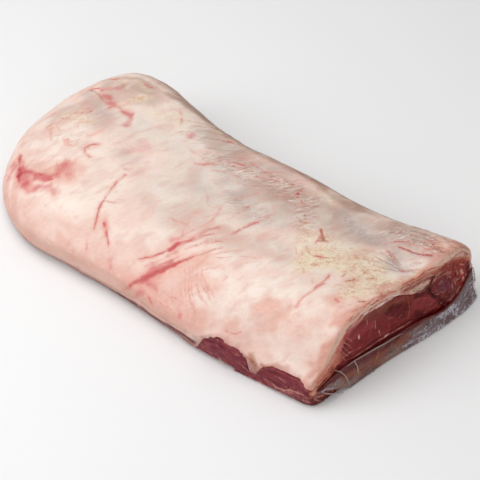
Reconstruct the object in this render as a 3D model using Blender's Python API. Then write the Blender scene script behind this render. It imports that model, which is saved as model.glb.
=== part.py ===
"""A whole boneless beef striploin, fat side up, in the clear film that it is sold in.

Metres, +Z up. +X runs along the loin from its rounded end to its cut end, and +Y from the thin flank side
to the thick chine side. The origin is the middle of the bounding box, on the surface that the meat lies on.

The outer form is one loft of cross-sections. Solids that follow the seams of the meat cut it into the fat
cap, the eye of the loin, the small side muscle and the tail strip. Where the film bridges from the cut face
to the floor it is a wedge of its own.
"""

import math

import bmesh
import bpy
import numpy as np

# Driving dimensions.
LENGTH = 0.462  # from the rounded tip to the cut face, on the middle line
THICKNESS = 0.080  # at the crown beside the cut face
CUT_SLANT = 0.195  # the cut face's share of x for each unit of y, because it isn't square to the loin
SEAM_GAP = 0.0003  # clearance between two pieces that touch
FAT_DEPTH = 0.009  # the fat cap over the eye

# The two sides' plan lines and the top's height, at stations along the loin. Heights are shares of
# THICKNESS at HEIGHT_AT, which are shares of the way from the near side to the far side.
STATION_X = (0.05, 0.10, 0.155, 0.205, 0.25, 0.30, 0.35, 0.405, 0.44, 0.48)
NEAR_Y = (-0.109, -0.110, -0.108, -0.106, -0.107, -0.109, -0.109, -0.103, -0.100, -0.098)
FAR_Y = (0.142, 0.126, 0.113, 0.105, 0.104, 0.106, 0.104, 0.107, 0.113, 0.117)
HEIGHT_AT = (0.0, 0.066, 0.12, 0.225, 0.36, 0.52, 0.72, 0.88, 1.0)
HEIGHT_ROWS = (
    (0.50, 0.57, 0.62, 0.69, 0.75, 0.81, 0.91, 0.98, 0.96),
    (0.50, 0.60, 0.67, 0.76, 0.83, 0.88, 0.90, 0.90, 0.84),
    (0.48, 0.58, 0.66, 0.77, 0.84, 0.88, 0.88, 0.86, 0.77),
    (0.46, 0.57, 0.66, 0.77, 0.85, 0.88, 0.88, 0.86, 0.78),
    (0.44, 0.56, 0.66, 0.78, 0.86, 0.88, 0.87, 0.85, 0.77),
    (0.41, 0.55, 0.66, 0.80, 0.88, 0.89, 0.88, 0.86, 0.78),
    (0.42, 0.53, 0.66, 0.83, 0.91, 0.91, 0.88, 0.87, 0.80),
    (0.42, 0.50, 0.67, 0.89, 0.96, 0.95, 0.90, 0.91, 0.84),
    (0.41, 0.48, 0.69, 0.94, 1.00, 0.97, 0.91, 0.93, 0.86),
    (0.40, 0.47, 0.70, 0.95, 1.01, 0.97, 0.91, 0.93, 0.86),
)

# The rounded end, seen from above and from the side.
TIP_Y = 0.002
TIP_Z = 0.024
NOSE_NEAR_LENGTH, NOSE_NEAR_POWER = .112, 1.88
NOSE_FAR_LENGTH, NOSE_FAR_POWER = .120, 1.85
NOSE_TOP_LENGTH, NOSE_TOP_POWER = 0.100, 1.75
NOSE_FLOOR_LENGTH, NOSE_FLOOR_POWER = 0.034, 2.2

# Roundings of the cross-section: how far in from the side, and how far down from the top.
NEAR_TOP_IN, NEAR_TOP_DOWN = 0.014, 0.012
NEAR_TOP_LEFT_IN, NEAR_TOP_LEFT_DOWN = 0.034, 0.030
FAR_TOP_IN, FAR_TOP_DOWN = 0.021, 0.027
FLOOR_IN, FLOOR_UP = 0.008, 0.008
FAR_FLOOR_IN, FAR_FLOOR_UP = 0.014, 0.016
NEAR_FLOOR_IN, NEAR_FLOOR_UP = 0.016, 0.020
CUT_EDGE = 0.004  # the rounding where the outside meets the cut face
CUT_FAR_EDGE = 0.016  # the same at the far corner, which is blunter
CUT_LEAN = 0.12  # the cut face leans back by this share of its height

# Where the fat cap ends. It wraps to the floor along the near side as far as the window, and from there on
# its edge stands above the floor, with one narrow tongue of fat that hangs across the window.
FAT_LIFTS = (0.300, 0.318)
WINDOW_AT = (0.300, 0.324, 0.334, 0.346, 0.381, 0.387, 0.391, 0.399, 0.407, 0.417, 0.4515, 0.462, 0.490)
WINDOW_EDGE = (0.003, 0.003, 0.024, 0.032, 0.0295, 0.024, 0.009, 0.008, 0.024, 0.028, 0.028, 0.021, 0.021)
WINDOW_FULL = 0.417  # past here the edge is plain
FAT_LIP = 0.031  # how far in from the near side the fat's edge is solid fat
FAT_EDGE_RISE = 0.22  # how much the fat's edge rises on the way in, as a share
FAR_OPENS = (0.080, 0.150)
FAR_EDGE = 0.026
FAT_NEAR_WALL, FAT_FAR_WALL, FAT_END_WALL = 0.013, 0.006, 0.016
FAT_AT = (0.0, 0.12, 0.225, 0.36, 0.52, 0.72, 0.88, 1.0)
FAT_SHARES = (0.35, 1.00, 0.90, 0.80, 0.90, 1.10, 1.05, 0.80)
FAT_KERNEL, KERNEL_AT, KERNEL_HALF = 0.012, 0.65, 0.11  # the fat is deeper over the seam at the cut end

# The side muscle lies beside the eye at the cut end, across a seam that slants.
SIDE_START, SIDE_FULL = 0.335, 0.445
SIDE_SEAM_TOP_Y, SIDE_SEAM_FLOOR_Y = 0.046, 0.080

# The tail strip is a flap of flank under the near edge of the cut end.
STRIP_START, STRIP_FULL = 0.372, 0.412
STRIP_LOW, STRIP_HIGH, STRIP_WIDTH, STRIP_PROUD = 0.011, 0.024, 0.046, 0.002
STRIP_TURN = 0.012  # the rounding of its corner, seen from above

# The film stands off the meat below a crease across the cut face.
FILM_NEAR_Y = -0.0920
FILM_CREASE_AT = (0.0, 0.15, 0.40, 0.64, 0.80, 0.90, 1.0)
FILM_CREASE = (0.020, 0.028, 0.023, 0.018, 0.011, 0.017, 0.040)
FILM_FOOT = (0.0025, 0.005, 0.006, 0.010, 0.012, 0.011, 0.006)
FILM_THIN = 0.0016

# Hollows of the top: name, where each starts and ends, half its width, its depth.
HOLLOWS = (
    ("behind the rounded end", (0.058, 0.070), (0.094, 0.048), 0.020, 0.0050),
    ("far side valley", (0.335, 0.090), (0.440, 0.040), 0.021, 0.0048),
    ("waist of the far side", (0.168, 0.100), (0.215, 0.084), 0.018, 0.0035),
    ("scar of the rounded end", (0.044, -0.052), (0.076, -0.046), 0.011, 0.0030),
)

NOSE_RINGS = 9
BODY_RINGS = 24
EDGE_RINGS = 3
WINDOW_RINGS = 28
WALL_POINTS = 3
ARC_POINTS = 6
TOP_POINTS = 17
FLOOR_POINTS = 9
OVERSHOOT = 0.02  # how far a cutter reaches past what it cuts

# Colours, roughness.
FAT_FINISH = ((0.80, 0.62, 0.54, 1.0), 0.42)
LEAN_FINISH = ((0.22, 0.035, 0.040, 1.0), 0.30)
SIDE_FINISH = ((0.26, 0.045, 0.045, 1.0), 0.30)
STRIP_FINISH = ((0.36, 0.085, 0.080, 1.0), 0.32)
FILM_FINISH = ((0.42, 0.36, 0.40, 1.0), 0.15)


def clear_scene():
    for thing in list(bpy.data.objects):
        bpy.data.objects.remove(thing)


def smooth_through(at, knots, values):
    """A smooth curve through the values at the knots, with a cubic between each two."""
    knots, values = np.asarray(knots, float), np.asarray(values, float)
    at = np.clip(at, knots[0], knots[-1])
    slopes = np.gradient(values, knots, axis=0)
    i = int(np.clip(np.searchsorted(knots, at) - 1, 0, len(knots) - 2))
    span = knots[i + 1] - knots[i]
    t = (at - knots[i]) / span
    rise = values[i + 1] - values[i]
    start, end = slopes[i] * span, slopes[i + 1] * span
    return values[i] + t * (start + t * (3 * rise - 2 * start - end + t * (start + end - 2 * rise)))


def ease(value, low, high):
    """0 below low, 1 above high, and smooth between."""
    t = min(max((value - low) / (high - low), 0.0), 1.0)
    return t * t * (3 - 2 * t)


def nose(x, length, power):
    """How full the rounded end is at x: 0 at the tip and 1 once the end's own length is passed."""
    t = 1 - min(max(x / length, 0.0), 1.0)
    return (1 - t**power) ** (1 / power)


def side_lines(x):
    """The near and the far side's y at x."""
    near = float(smooth_through(x, STATION_X, NEAR_Y))
    near = TIP_Y + (near - TIP_Y) * nose(x, NOSE_NEAR_LENGTH, NOSE_NEAR_POWER)
    far = float(smooth_through(x, STATION_X, FAR_Y))
    far = TIP_Y + (far - TIP_Y) * nose(x, NOSE_FAR_LENGTH, NOSE_FAR_POWER)
    return near, far


def hollow_depth(x, y):
    """How far the top is pressed in at a point."""
    depth = 0.0
    for _, start, end, half_width, most in HOLLOWS:
        along = np.subtract(end, start)
        t = np.clip(np.dot(np.subtract((x, y), start), along) / np.dot(along, along), 0, 1)
        away = math.hypot(x - start[0] - t * along[0], y - start[1] - t * along[1])
        depth += most * math.exp(-((away / half_width) ** 2))
    return depth


def top_height(x, share):
    """The outside's height at x, at a share of the way from the near to the far side."""
    row = smooth_through(x, STATION_X, HEIGHT_ROWS)
    height = float(smooth_through(share, HEIGHT_AT, row)) * THICKNESS
    near, far = side_lines(x)
    height -= hollow_depth(x, near + share * (far - near)) * math.sin(math.pi * share) ** 0.5
    return TIP_Z + (height - TIP_Z) * nose(x, NOSE_TOP_LENGTH, NOSE_TOP_POWER)


def floor_height(x):
    return TIP_Z * (1 - nose(x, NOSE_FLOOR_LENGTH, NOSE_FLOOR_POWER))


def section(x):
    """The outer cross-section at x as a loop of (y, z), from the near floor edge up, over and back."""
    near, far = side_lines(x)
    width = far - near
    low = floor_height(x)
    left = 1 - ease(x, 0.10, FAT_LIFTS[0])
    near_in = NEAR_TOP_IN + (NEAR_TOP_LEFT_IN - NEAR_TOP_IN) * left
    near_down = NEAR_TOP_DOWN + (NEAR_TOP_LEFT_DOWN - NEAR_TOP_DOWN) * left
    under_in = FLOOR_IN + (NEAR_FLOOR_IN - FLOOR_IN) * left
    under_up = FLOOR_UP + (NEAR_FLOOR_UP - FLOOR_UP) * left
    radii = (near_in, FAR_TOP_IN, FAR_FLOOR_IN, under_in)
    near_in, far_in, floor_in, under_in = (min(r, 0.4 * width) for r in radii)

    def top(y):
        return top_height(x, (y - near) / width)

    def wall_top(y, down):
        return low + max(top(y) - low - down, 0.35 * (top(y) - low))

    near_wall, far_wall = wall_top(near + near_in, near_down), wall_top(far - far_in, FAR_TOP_DOWN)
    under_up, floor_up = min(under_up, 0.6 * (near_wall - low)), min(FAR_FLOOR_UP, 0.6 * (far_wall - low))
    quarter = [math.pi / 2 * i / ARC_POINTS for i in range(1, ARC_POINTS)]
    loop = []
    for a in quarter:
        loop.append((near + under_in * (1 - math.sin(a)), low + under_up * (1 - math.cos(a))))
    for z in np.linspace(low + under_up, near_wall, WALL_POINTS):
        loop.append((near, z))
    for a in quarter:
        y = near + near_in * (1 - math.cos(a))
        loop.append((y, near_wall + (top(y) - near_wall) * math.sin(a)))
    for y in np.linspace(near + near_in, far - far_in, TOP_POINTS):
        loop.append((y, top(y)))
    for a in reversed(quarter):
        y = far - far_in * (1 - math.cos(a))
        loop.append((y, far_wall + (top(y) - far_wall) * math.sin(a)))
    for z in np.linspace(far_wall, low + floor_up, WALL_POINTS):
        loop.append((far, z))
    for a in reversed(quarter):
        loop.append((far - floor_in * (1 - math.sin(a)), low + floor_up * (1 - math.cos(a))))
    for y in np.linspace(far - floor_in, near + under_in, FLOOR_POINTS):
        loop.append((y, low))
    return np.array(loop)


def shrunk(loop, distances):
    """The loop with each point moved inward by its own distance."""
    tangent = np.roll(loop, -1, axis=0) - np.roll(loop, 1, axis=0)
    inward = np.stack([tangent[:, 1], -tangent[:, 0]], axis=1)
    inward /= np.linalg.norm(inward, axis=1)[:, None]
    return loop + inward * distances[:, None]


def slanted(x, loop):
    """The loop as points in space. Past the loin's middle the sections turn to lie along the cut face."""
    slant = CUT_SLANT * ease(x, 0.5 * LENGTH, LENGTH)
    lean = CUT_LEAN * ease(x, 0.8 * LENGTH, LENGTH)
    return [(x + slant * y - lean * z, y, z) for y, z in loop]


def loft(name, rings, finish=None):
    """A closed solid through rings that all have as many points. With no finish it is a cutter."""
    made = bmesh.new()
    rows = [[made.verts.new(p) for p in ring] for ring in rings]
    count = len(rings[0])
    for a, b in zip(rows, rows[1:]):
        for i in range(count):
            j = (i + 1) % count
            made.faces.new((a[i], a[j], b[j], b[i]))
    made.faces.new(rows[0][::-1])
    made.faces.new(rows[-1])
    bmesh.ops.recalc_face_normals(made, faces=made.faces)
    bmesh.ops.triangulate(made, faces=made.faces)
    mesh = bpy.data.meshes.new(name)
    made.to_mesh(mesh)
    made.free()
    thing = bpy.data.objects.new(name, mesh)
    bpy.context.scene.collection.objects.link(thing)
    if finish is None:
        thing.hide_render = True
        thing.display_type = "WIRE"
    else:
        mesh.materials.append(material(name, *finish))
        mesh.shade_smooth()
    return thing


def material(name, colour, roughness):
    made = bpy.data.materials.new(name)
    made.use_nodes = True
    shader = made.node_tree.nodes["Principled BSDF"]
    shader.inputs["Base Color"].default_value = colour
    shader.inputs["Roughness"].default_value = roughness
    return made


def outside_rings():
    """Cross-sections of the whole, close together round both ends."""
    angles = [math.pi / 2 * i / NOSE_RINGS for i in range(1, NOSE_RINGS)]
    stations = [NOSE_NEAR_LENGTH * (1 - math.cos(a)) for a in angles]
    stations += list(np.linspace(NOSE_NEAR_LENGTH, LENGTH - CUT_EDGE, BODY_RINGS))
    rings = [slanted(x, section(x)) for x in stations]
    last = section(LENGTH)
    _, far = side_lines(LENGTH)
    blunt = [ease(y, 0.6 * far, far) * ease(z, FLOOR_UP, 4 * FLOOR_UP) for y, z in last]
    edge = CUT_EDGE + (CUT_FAR_EDGE - CUT_EDGE) * np.array(blunt)
    for i in range(1, EDGE_RINGS + 1):
        a = math.pi / 2 * i / EDGE_RINGS
        x = LENGTH - CUT_EDGE * (1 - math.sin(a))
        rings.append(slanted(x, shrunk(last, edge * (1 - math.cos(a)))))
    return rings


def fat_depth(x, share):
    kernel = FAT_KERNEL * ease(x, 0.36, 0.45) * math.exp(-(((share - KERNEL_AT) / KERNEL_HALF) ** 2))
    return FAT_DEPTH * float(smooth_through(share, FAT_AT, FAT_SHARES)) + kernel


def lean_section(x):
    """The seam under the fat cap at x, as a loop that overshoots wherever the lean is bare."""
    near, far = side_lines(x)
    bare = ease(x, *FAT_LIFTS)
    near_edge = float(np.interp(x, WINDOW_AT, WINDOW_EDGE)) if bare else THICKNESS
    near_wall = near + FAT_NEAR_WALL - bare * (FAT_NEAR_WALL + OVERSHOOT)
    far_wall = far - FAT_FAR_WALL
    end = nose(x - FAT_END_WALL, NOSE_TOP_LENGTH, NOSE_TOP_POWER)

    def seam(y):
        share = min(max((y - near) / (far - near), 0.0), 1.0)
        under_fat = top_height(x, share) - fat_depth(x, share)
        inward = max(y - near, 0.0)
        edge = near_edge + FAT_EDGE_RISE * bare * inward
        under_fat = min(under_fat, edge + 3.0 * max(inward - FAT_LIP * bare, 0.0))
        return TIP_Z + (under_fat - TIP_Z) * end

    corner = 0.003 + 0.009 * (1 - bare)
    near_corner = near_wall + corner
    opened = ease(x, *FAR_OPENS)
    edge = min(FAR_EDGE, seam(far_wall) - 0.016)
    far_reach = far_wall + (far + OVERSHOOT - far_wall) * opened
    loop = [(near_wall, -OVERSHOOT), (near_wall, max(seam(near_wall) - corner, 0.004))]
    loop += [(y, seam(y)) for y in np.linspace(near_corner, far_wall - 0.010, TOP_POINTS)]
    loop += [(far_wall, seam(far_wall) - 0.010), (far_wall, edge + 0.003)]
    loop += [(far_reach, edge), (far_reach, -OVERSHOOT)]
    return loop


def lean_region():
    """Everything under the fat cap's seam, reaching past the cut face and the floor."""
    start = FAT_END_WALL + 0.006
    inner_nose = [start + 0.07 * (1 - math.cos(math.pi / 2 * i / 6)) for i in range(6)]
    window = np.linspace(FAT_LIFTS[0], WINDOW_FULL, WINDOW_RINGS)
    stations = inner_nose + list(np.linspace(start + 0.07, FAT_LIFTS[0] - 0.006, BODY_RINGS // 2))
    stations += list(window) + list(np.linspace(WINDOW_FULL + 0.006, LENGTH - 0.010, BODY_RINGS // 4))
    stations += [LENGTH - 0.004, LENGTH, LENGTH + OVERSHOOT]
    return loft("lean region", [slanted(x, lean_section(x)) for x in stations])


def side_region():
    """The small muscle beside the eye, tapering away into the loin."""
    rings = []
    for x in np.linspace(SIDE_START, LENGTH + OVERSHOOT, 9):
        full = 0.25 + 0.75 * ease(x, SIDE_START, SIDE_FULL)
        _, far = side_lines(x)
        reach = far + OVERSHOOT
        loop = []
        for z in np.linspace(-OVERSHOOT, THICKNESS + OVERSHOOT, 7):
            share = z / THICKNESS
            seam = SIDE_SEAM_FLOOR_Y + (SIDE_SEAM_TOP_Y - SIDE_SEAM_FLOOR_Y) * share
            bulge = 0.007 * math.sin(math.pi * min(max(share, 0.0), 1.0))
            loop.append((reach + (seam - bulge - reach) * full, z))
        rings.append(slanted(x, [(reach, -OVERSHOOT)] + loop + [(reach, THICKNESS + OVERSHOOT)]))
    return loft("side region", rings)


def strip_section(x):
    """The tail strip's cross-section: flat below, rounded at the near side, thinning under the eye."""
    near, _ = side_lines(x)
    full = ease(x, STRIP_START, STRIP_FULL)
    height = STRIP_LOW * (0.25 + 0.75 * full) + (STRIP_HIGH - STRIP_LOW) * ease(x, STRIP_FULL, LENGTH - 0.01)
    width = STRIP_WIDTH * (0.5 + 0.5 * full)
    turned = min(max((x - LENGTH + STRIP_TURN) / STRIP_TURN, 0.0), 1.0)
    near_y = near - STRIP_PROUD * full + STRIP_TURN * (1 - math.sqrt(1 - 0.96 * turned**2))
    loop = [(near_y + 0.003, 0.0), (near_y, 0.35 * height)]
    for share in (0.04, 0.11, 0.21, 0.34, 0.50, 0.68, 0.86):
        rise = math.sin(math.pi / 2 * min(share / 0.15, 1.0)) ** 0.6
        fall = 1 - max(share - 0.34, 0.0) / 0.66
        loop.append((near_y + share * width, height * max(0.35, rise) * fall**0.8))
    return loop + [(near_y + width, 0.0015), (near_y + width, 0.0)]


def strip_rings():
    stations = list(np.linspace(STRIP_START, LENGTH - STRIP_TURN, 10))
    stations += [LENGTH - STRIP_TURN * (1 - t) for t in (0.35, 0.65, 0.87, 1.0)]
    return [slanted(x, strip_section(x)) for x in stations]


def clearance(thing):
    """A cutter of the same form, larger by the seam gap all round."""
    grown = bmesh.new()
    grown.from_mesh(thing.data)
    grown.normal_update()
    moves = [(v, v.normal * SEAM_GAP * min(v.calc_shell_factor(), 1.6)) for v in grown.verts]
    for v, move in moves:
        v.co += move
    mesh = bpy.data.meshes.new(f"{thing.name} clearance")
    grown.to_mesh(mesh)
    grown.free()
    cutter = bpy.data.objects.new(mesh.name, mesh)
    bpy.context.scene.collection.objects.link(cutter)
    cutter.hide_render = True
    cutter.display_type = "WIRE"
    return cutter


def film_rings():
    """The film's wedge: a strip of triangles in section, from the crease down to a foot on the floor."""
    _, far = side_lines(LENGTH)
    far_y = far - 0.004
    rings = []
    for share in np.linspace(0, 1, 26):
        y = FILM_NEAR_Y + share * (far_y - FILM_NEAR_Y)
        crease = float(smooth_through(share, FILM_CREASE_AT, FILM_CREASE))
        foot = float(smooth_through(share, FILM_CREASE_AT, FILM_FOOT))
        back = LENGTH + CUT_SLANT * y + SEAM_GAP
        ring = [(back - CUT_LEAN * z, y, z) for z in np.linspace(0, crease, 5)]
        for t in np.linspace(1, 0, 6):
            z = crease * t
            out = FILM_THIN + (foot - FILM_THIN) * (1 - t) ** 1.4
            ring.append((back - CUT_LEAN * z + out, y, z))
        rings.append(ring)
    return rings


def boolean(target, operation, other):
    cut = target.modifiers.new(f"{operation.lower()} {other.name}", "BOOLEAN")
    cut.operation = operation
    cut.solver = "EXACT"
    cut.object = other


def centre_on_floor(things):
    """Moves everything so that the solids' box stands on z = 0 with its middle over the origin."""
    bpy.context.view_layer.update()
    graph = bpy.context.evaluated_depsgraph_get()
    corners = []
    for thing in things:
        if not thing.hide_render:
            corners += [tuple(v.co) for v in thing.evaluated_get(graph).data.vertices]
    low, high = np.min(corners, axis=0), np.max(corners, axis=0)
    shift = (-(low[0] + high[0]) / 2, -(low[1] + high[1]) / 2, -low[2])
    for thing in things:
        thing.location = shift


def build():
    clear_scene()
    outside = outside_rings()
    fat_cap = loft("fat_cap", outside, FAT_FINISH)
    eye = loft("eye_of_loin", outside, LEAN_FINISH)
    side = loft("side_muscle", outside, SIDE_FINISH)
    strip = loft("tail_strip", strip_rings(), STRIP_FINISH)
    film = loft("end_film", film_rings(), FILM_FINISH)

    lean, side_cut = lean_region(), side_region()
    lean_wide, side_wide, strip_wide = clearance(lean), clearance(side_cut), clearance(strip)

    boolean(fat_cap, "DIFFERENCE", lean_wide)
    boolean(fat_cap, "DIFFERENCE", strip_wide)
    boolean(eye, "INTERSECT", lean)
    boolean(eye, "DIFFERENCE", side_wide)
    boolean(eye, "DIFFERENCE", strip_wide)
    boolean(side, "INTERSECT", lean)
    boolean(side, "INTERSECT", side_cut)

    cutters = [lean, lean_wide, side_cut, side_wide, strip_wide]
    centre_on_floor([fat_cap, eye, side, strip, film] + cutters)


build()
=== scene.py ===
# %% [markdown]
# # A whole beef striploin in clear film
#
# A striploin is the long muscle that lies beside the backbone, trimmed of bone and sold whole. It lies here
# with its fat side up. One end is rounded, the other is cut across and shows the lean. The clear film is
# drawn tight by the vacuum, so on most of the meat it is only a shine with small wrinkles in it, and it
# stands off as a thing of its own only below the cut end.
#
# The solid model gives every piece its size and place. This script makes the same pieces again with finer
# meshes, gives them relief, and paints the marks that meat has: streaks of blood, yellow fat, grey sinew.
# Some of the paint is painted shade and painted highlights, where the light falls off or the film shines.

# %% Load the solid model
import math

import bmesh
import bpy
import numpy as np
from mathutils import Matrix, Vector
from mathutils.bvhtree import BVHTree


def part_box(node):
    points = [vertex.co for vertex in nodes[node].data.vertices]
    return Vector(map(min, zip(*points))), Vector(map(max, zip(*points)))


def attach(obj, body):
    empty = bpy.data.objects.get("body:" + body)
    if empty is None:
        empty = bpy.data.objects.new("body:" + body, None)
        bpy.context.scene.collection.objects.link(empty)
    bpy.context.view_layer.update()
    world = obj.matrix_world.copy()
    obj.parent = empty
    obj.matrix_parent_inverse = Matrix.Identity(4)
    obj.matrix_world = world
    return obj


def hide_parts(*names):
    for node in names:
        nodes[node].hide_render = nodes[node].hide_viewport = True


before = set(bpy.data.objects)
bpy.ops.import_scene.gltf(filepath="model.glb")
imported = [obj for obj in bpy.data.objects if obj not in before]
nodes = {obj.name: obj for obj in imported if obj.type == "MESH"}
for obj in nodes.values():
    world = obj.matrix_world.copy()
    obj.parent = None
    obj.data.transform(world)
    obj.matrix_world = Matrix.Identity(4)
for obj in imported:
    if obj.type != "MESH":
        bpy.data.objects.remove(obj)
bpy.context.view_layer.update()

print("solids:", ", ".join(sorted(nodes)))

# %% [markdown]
# ## Camera and light
#
# The camera is set first, because it decides which small things are worth making. It stands on the flank
# side, a metre and a half away and well above, with a long lens, so the loin keeps its proportions.
#
# Meat under film is photographed with large soft lights, because a small lamp would leave hard white spots
# all over the film. So the room itself is bright, a broad panel hangs over the loin, a second one stands to
# the left of the camera, and a weaker one lights the cut end. The floor is a pale sheet that throws light
# back up on the sides.

# %% Camera
LOOK_AT = Vector((0.0345, -0.0025, 0.0352))
DISTANCE, LENS = 1.496, 115
AZIMUTH, ELEVATION = math.radians(37.6), math.radians(46.3)
scene = bpy.context.scene


def add(name, data):
    """Makes an object of this data and links it to the scene."""
    made = bpy.data.objects.new(name, data)
    scene.collection.objects.link(made)
    return made


def add_net(name, net):
    """Makes an object of a finished bmesh, which is freed."""
    mesh = bpy.data.meshes.new(name)
    net.to_mesh(mesh)
    net.free()
    return add(name, mesh)


def aim(thing, place, target):
    """Stands a camera or a lamp in its place, turned to the target."""
    thing.location = place
    thing.rotation_euler = (target - Vector(place)).to_track_quat("-Z", "Y").to_euler()


level = Vector((math.sin(AZIMUTH), -math.cos(AZIMUTH), 0)) * math.cos(ELEVATION)
camera = add("camera", bpy.data.cameras.new("camera"))
camera.data.lens = LENS
aim(camera, LOOK_AT + DISTANCE * (level + Vector((0, 0, math.sin(ELEVATION)))), LOOK_AT)
scene.camera = camera
scene.view_settings.view_transform = "Standard"
print("camera stands at", [round(c, 3) for c in camera.location])

# %% Light and floor
ROOM_LIGHT = 0.36
FLOOR_HALF, FLOOR_DROP = 2.5, 0.0005  # the floor lies a little low, so that nothing flickers through it


def panel(name, place, size, power):
    """A soft square light that faces the middle of the loin."""
    light = bpy.data.lights.new(name, "AREA")
    light.size, light.energy = size, power
    aim(add(name, light), place, Vector())


world = bpy.data.worlds.new("bright room")
world.use_nodes = True
world.node_tree.nodes["Background"].inputs["Color"].default_value = (1.0, 1.0, 1.0, 1)
world.node_tree.nodes["Background"].inputs["Strength"].default_value = ROOM_LIGHT
scene.world = world
panel("overhead panel", (-0.35, -0.25, 1.5), 1.3, 13)
panel("left panel", (-1.0, -1.1, 0.9), 0.9, 8)
panel("end panel", (1.3, -0.9, 0.9), 0.8, 3)

sheet = bmesh.new()
bmesh.ops.create_grid(sheet, x_segments=1, y_segments=1, size=FLOOR_HALF)
floor = add_net("floor", sheet)
floor.location.z = -FLOOR_DROP
floor_paint = bpy.data.materials.new("pale floor")
floor_paint.use_nodes = True
floor_paint.node_tree.nodes["Principled BSDF"].inputs["Base Color"].default_value = (0.94, 0.94, 0.94, 1)
floor_paint.node_tree.nodes["Principled BSDF"].inputs["Roughness"].default_value = 0.9
floor.data.materials.append(floor_paint)

# %% [markdown]
# ## A finer copy of each solid
#
# The solids are faceted, with faces a centimetre or two wide. Subdividing them would keep every long thin
# triangle that their cuts left. A voxel remesh throws the old faces away and lays an even net of small
# squares over the same form, which later steps can push in and out anywhere.
#
# A remesh keeps the facets as faint flats, so the net is then relaxed: each point moves a little towards the
# middle of its neighbours, again and again. Points close to another piece are held, because a seam must stay
# where it is. A remesh also rounds the corners off, which would leave a groove along every seam, so the
# points beside a seam are put back on the solid at the end.

# %% Nets and their points
def rows_of(things, key, width=3, kind=np.float32):
    """One property of all these things, as an array with a row for each."""
    flat = np.empty(len(things) * width, kind)
    things.foreach_get(key, flat)
    return flat.reshape(-1, width)


def points_of(piece):
    return rows_of(piece.data.vertices, "co").astype(float)


def normals_of(piece):
    return rows_of(piece.data.vertex_normals, "vector").astype(float)


def set_points(piece, points):
    piece.data.vertices.foreach_set("co", np.asarray(points, np.float32).ravel())
    piece.data.update()


def with_modifier(piece, kind, **settings):
    """Gives the piece one modifier and applies it."""
    step = piece.modifiers.new(kind.lower(), kind)
    for key, value in settings.items():
        setattr(step, key, value)
    graph = bpy.context.evaluated_depsgraph_get()
    mesh = bpy.data.meshes.new_from_object(piece.evaluated_get(graph))
    piece.modifiers.clear()
    piece.data = mesh


def fine_copy(node, name, voxel):
    """Copies a solid and lays an even net over it, with squares voxel metres wide."""
    piece = add(name, nodes[node].data.copy())
    joined = bmesh.new()
    joined.from_mesh(piece.data)
    bmesh.ops.remove_doubles(joined, verts=joined.verts, dist=1e-6)
    joined.to_mesh(piece.data)
    joined.free()
    with_modifier(piece, "REMESH", mode="VOXEL", voxel_size=voxel, adaptivity=0)
    piece.data.materials.clear()
    print(f"{name}: {len(piece.data.polygons)} faces at {1000 * voxel:.1f} mm")
    return piece


# %% Distances
CUT_AT, CUT_TURN, CUT_LEAN = 0.2170, 0.195, 0.12  # the plane of the cut end
LEAN_NODES = ("eye_of_loin", "side_muscle", "tail_strip")

trees = {}
for node, thing in nodes.items():
    corners = [v.co for v in thing.data.vertices]
    trees[node] = BVHTree.FromPolygons(corners, [p.vertices for p in thing.data.polygons])


def ease(value, low, high):
    """0 below low, 1 above high, and smooth between."""
    t = np.clip((value - low) / (high - low), 0, 1)
    return t * t * (3 - 2 * t)


def past_cut(points):
    """How far a point lies past the plane of the cut end, in metres. It is below 0 inside the loin."""
    x, y, z = points.T
    return x - CUT_TURN * y + CUT_LEAN * z - CUT_AT


def cut_plane(y, z):
    """Where the plane of the cut end is at this place across and up."""
    return CUT_AT + CUT_TURN * y - CUT_LEAN * z


def distance_to(points, near_nodes, reach):
    """Each point's distance to the nearest of these solids, or reach where none is that close."""
    found = np.full(len(points), reach)
    for node in near_nodes:
        low, high = (np.array(corner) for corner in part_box(node))
        close = np.all((points > low - reach) & (points < high + reach), axis=1)
        for i in np.flatnonzero(close):
            hit = trees[node].find_nearest(points[i], found[i])
            if hit[3] is not None and hit[3] < found[i]:
                found[i] = hit[3]
    return found


# %% Relax, split and sharpen
PULL = 0.6  # the part of the way to its neighbours' middle that a free point goes in one round
HELD_WITHIN, FREE_BEYOND = 0.0012, 0.0028  # distances from the next piece
JOIN_REACH, JOIN_SHARE = 0.0008, 0.42  # gaps up to this wide are closed, from each side by this share


def relax(piece, rounds, freedom):
    """Smooths the net. freedom is 0 where a point is held and 1 where it may move."""
    a, b = rows_of(piece.data.edges, "vertices", 2, np.int32).T
    points = points_of(piece)
    count = len(points)
    neighbours = np.bincount(a, minlength=count) + np.bincount(b, minlength=count)
    for _ in range(rounds):
        for axis in range(3):
            line = points[:, axis]
            total = np.bincount(a, line[b], count) + np.bincount(b, line[a], count)
            points[:, axis] = line + PULL * freedom * (total / neighbours - line)
    set_points(piece, points)


def finer(piece, where):
    """Splits each square of the net in four where the test, given the squares' middles, says so."""
    middles = np.array([f.center for f in piece.data.polygons])
    net = bmesh.new()
    net.from_mesh(piece.data)
    net.faces.ensure_lookup_table()
    edges = {edge for i in np.flatnonzero(where(middles)).tolist() for edge in net.faces[i].edges}
    bmesh.ops.subdivide_edges(net, edges=list(edges), cuts=1, use_grid_fill=True)
    net.to_mesh(piece.data)
    net.free()


def sharpen(piece, node, gap, neighbours):
    """Puts the points beside a seam back on the solid, because the remesh has rounded its corners off.

    The solids are 0.3 mm apart. Meat grows together there, so each side comes most of the way to the middle.
    """
    points = points_of(piece)
    held = 1 - ease(gap, HELD_WITHIN, FREE_BEYOND)
    for i in np.flatnonzero(held > 0):
        spot = np.array(trees[node].find_nearest(Vector(points[i]))[0])
        points[i] += held[i] * (spot - points[i])
        found = [trees[other].find_nearest(Vector(points[i]), JOIN_REACH) for other in neighbours]
        found = [(hit[3], hit[0]) for hit in found if hit[0] is not None]
        if found:
            points[i] += JOIN_SHARE * held[i] * (np.array(min(found)[1]) - points[i])
    set_points(piece, points)


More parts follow.
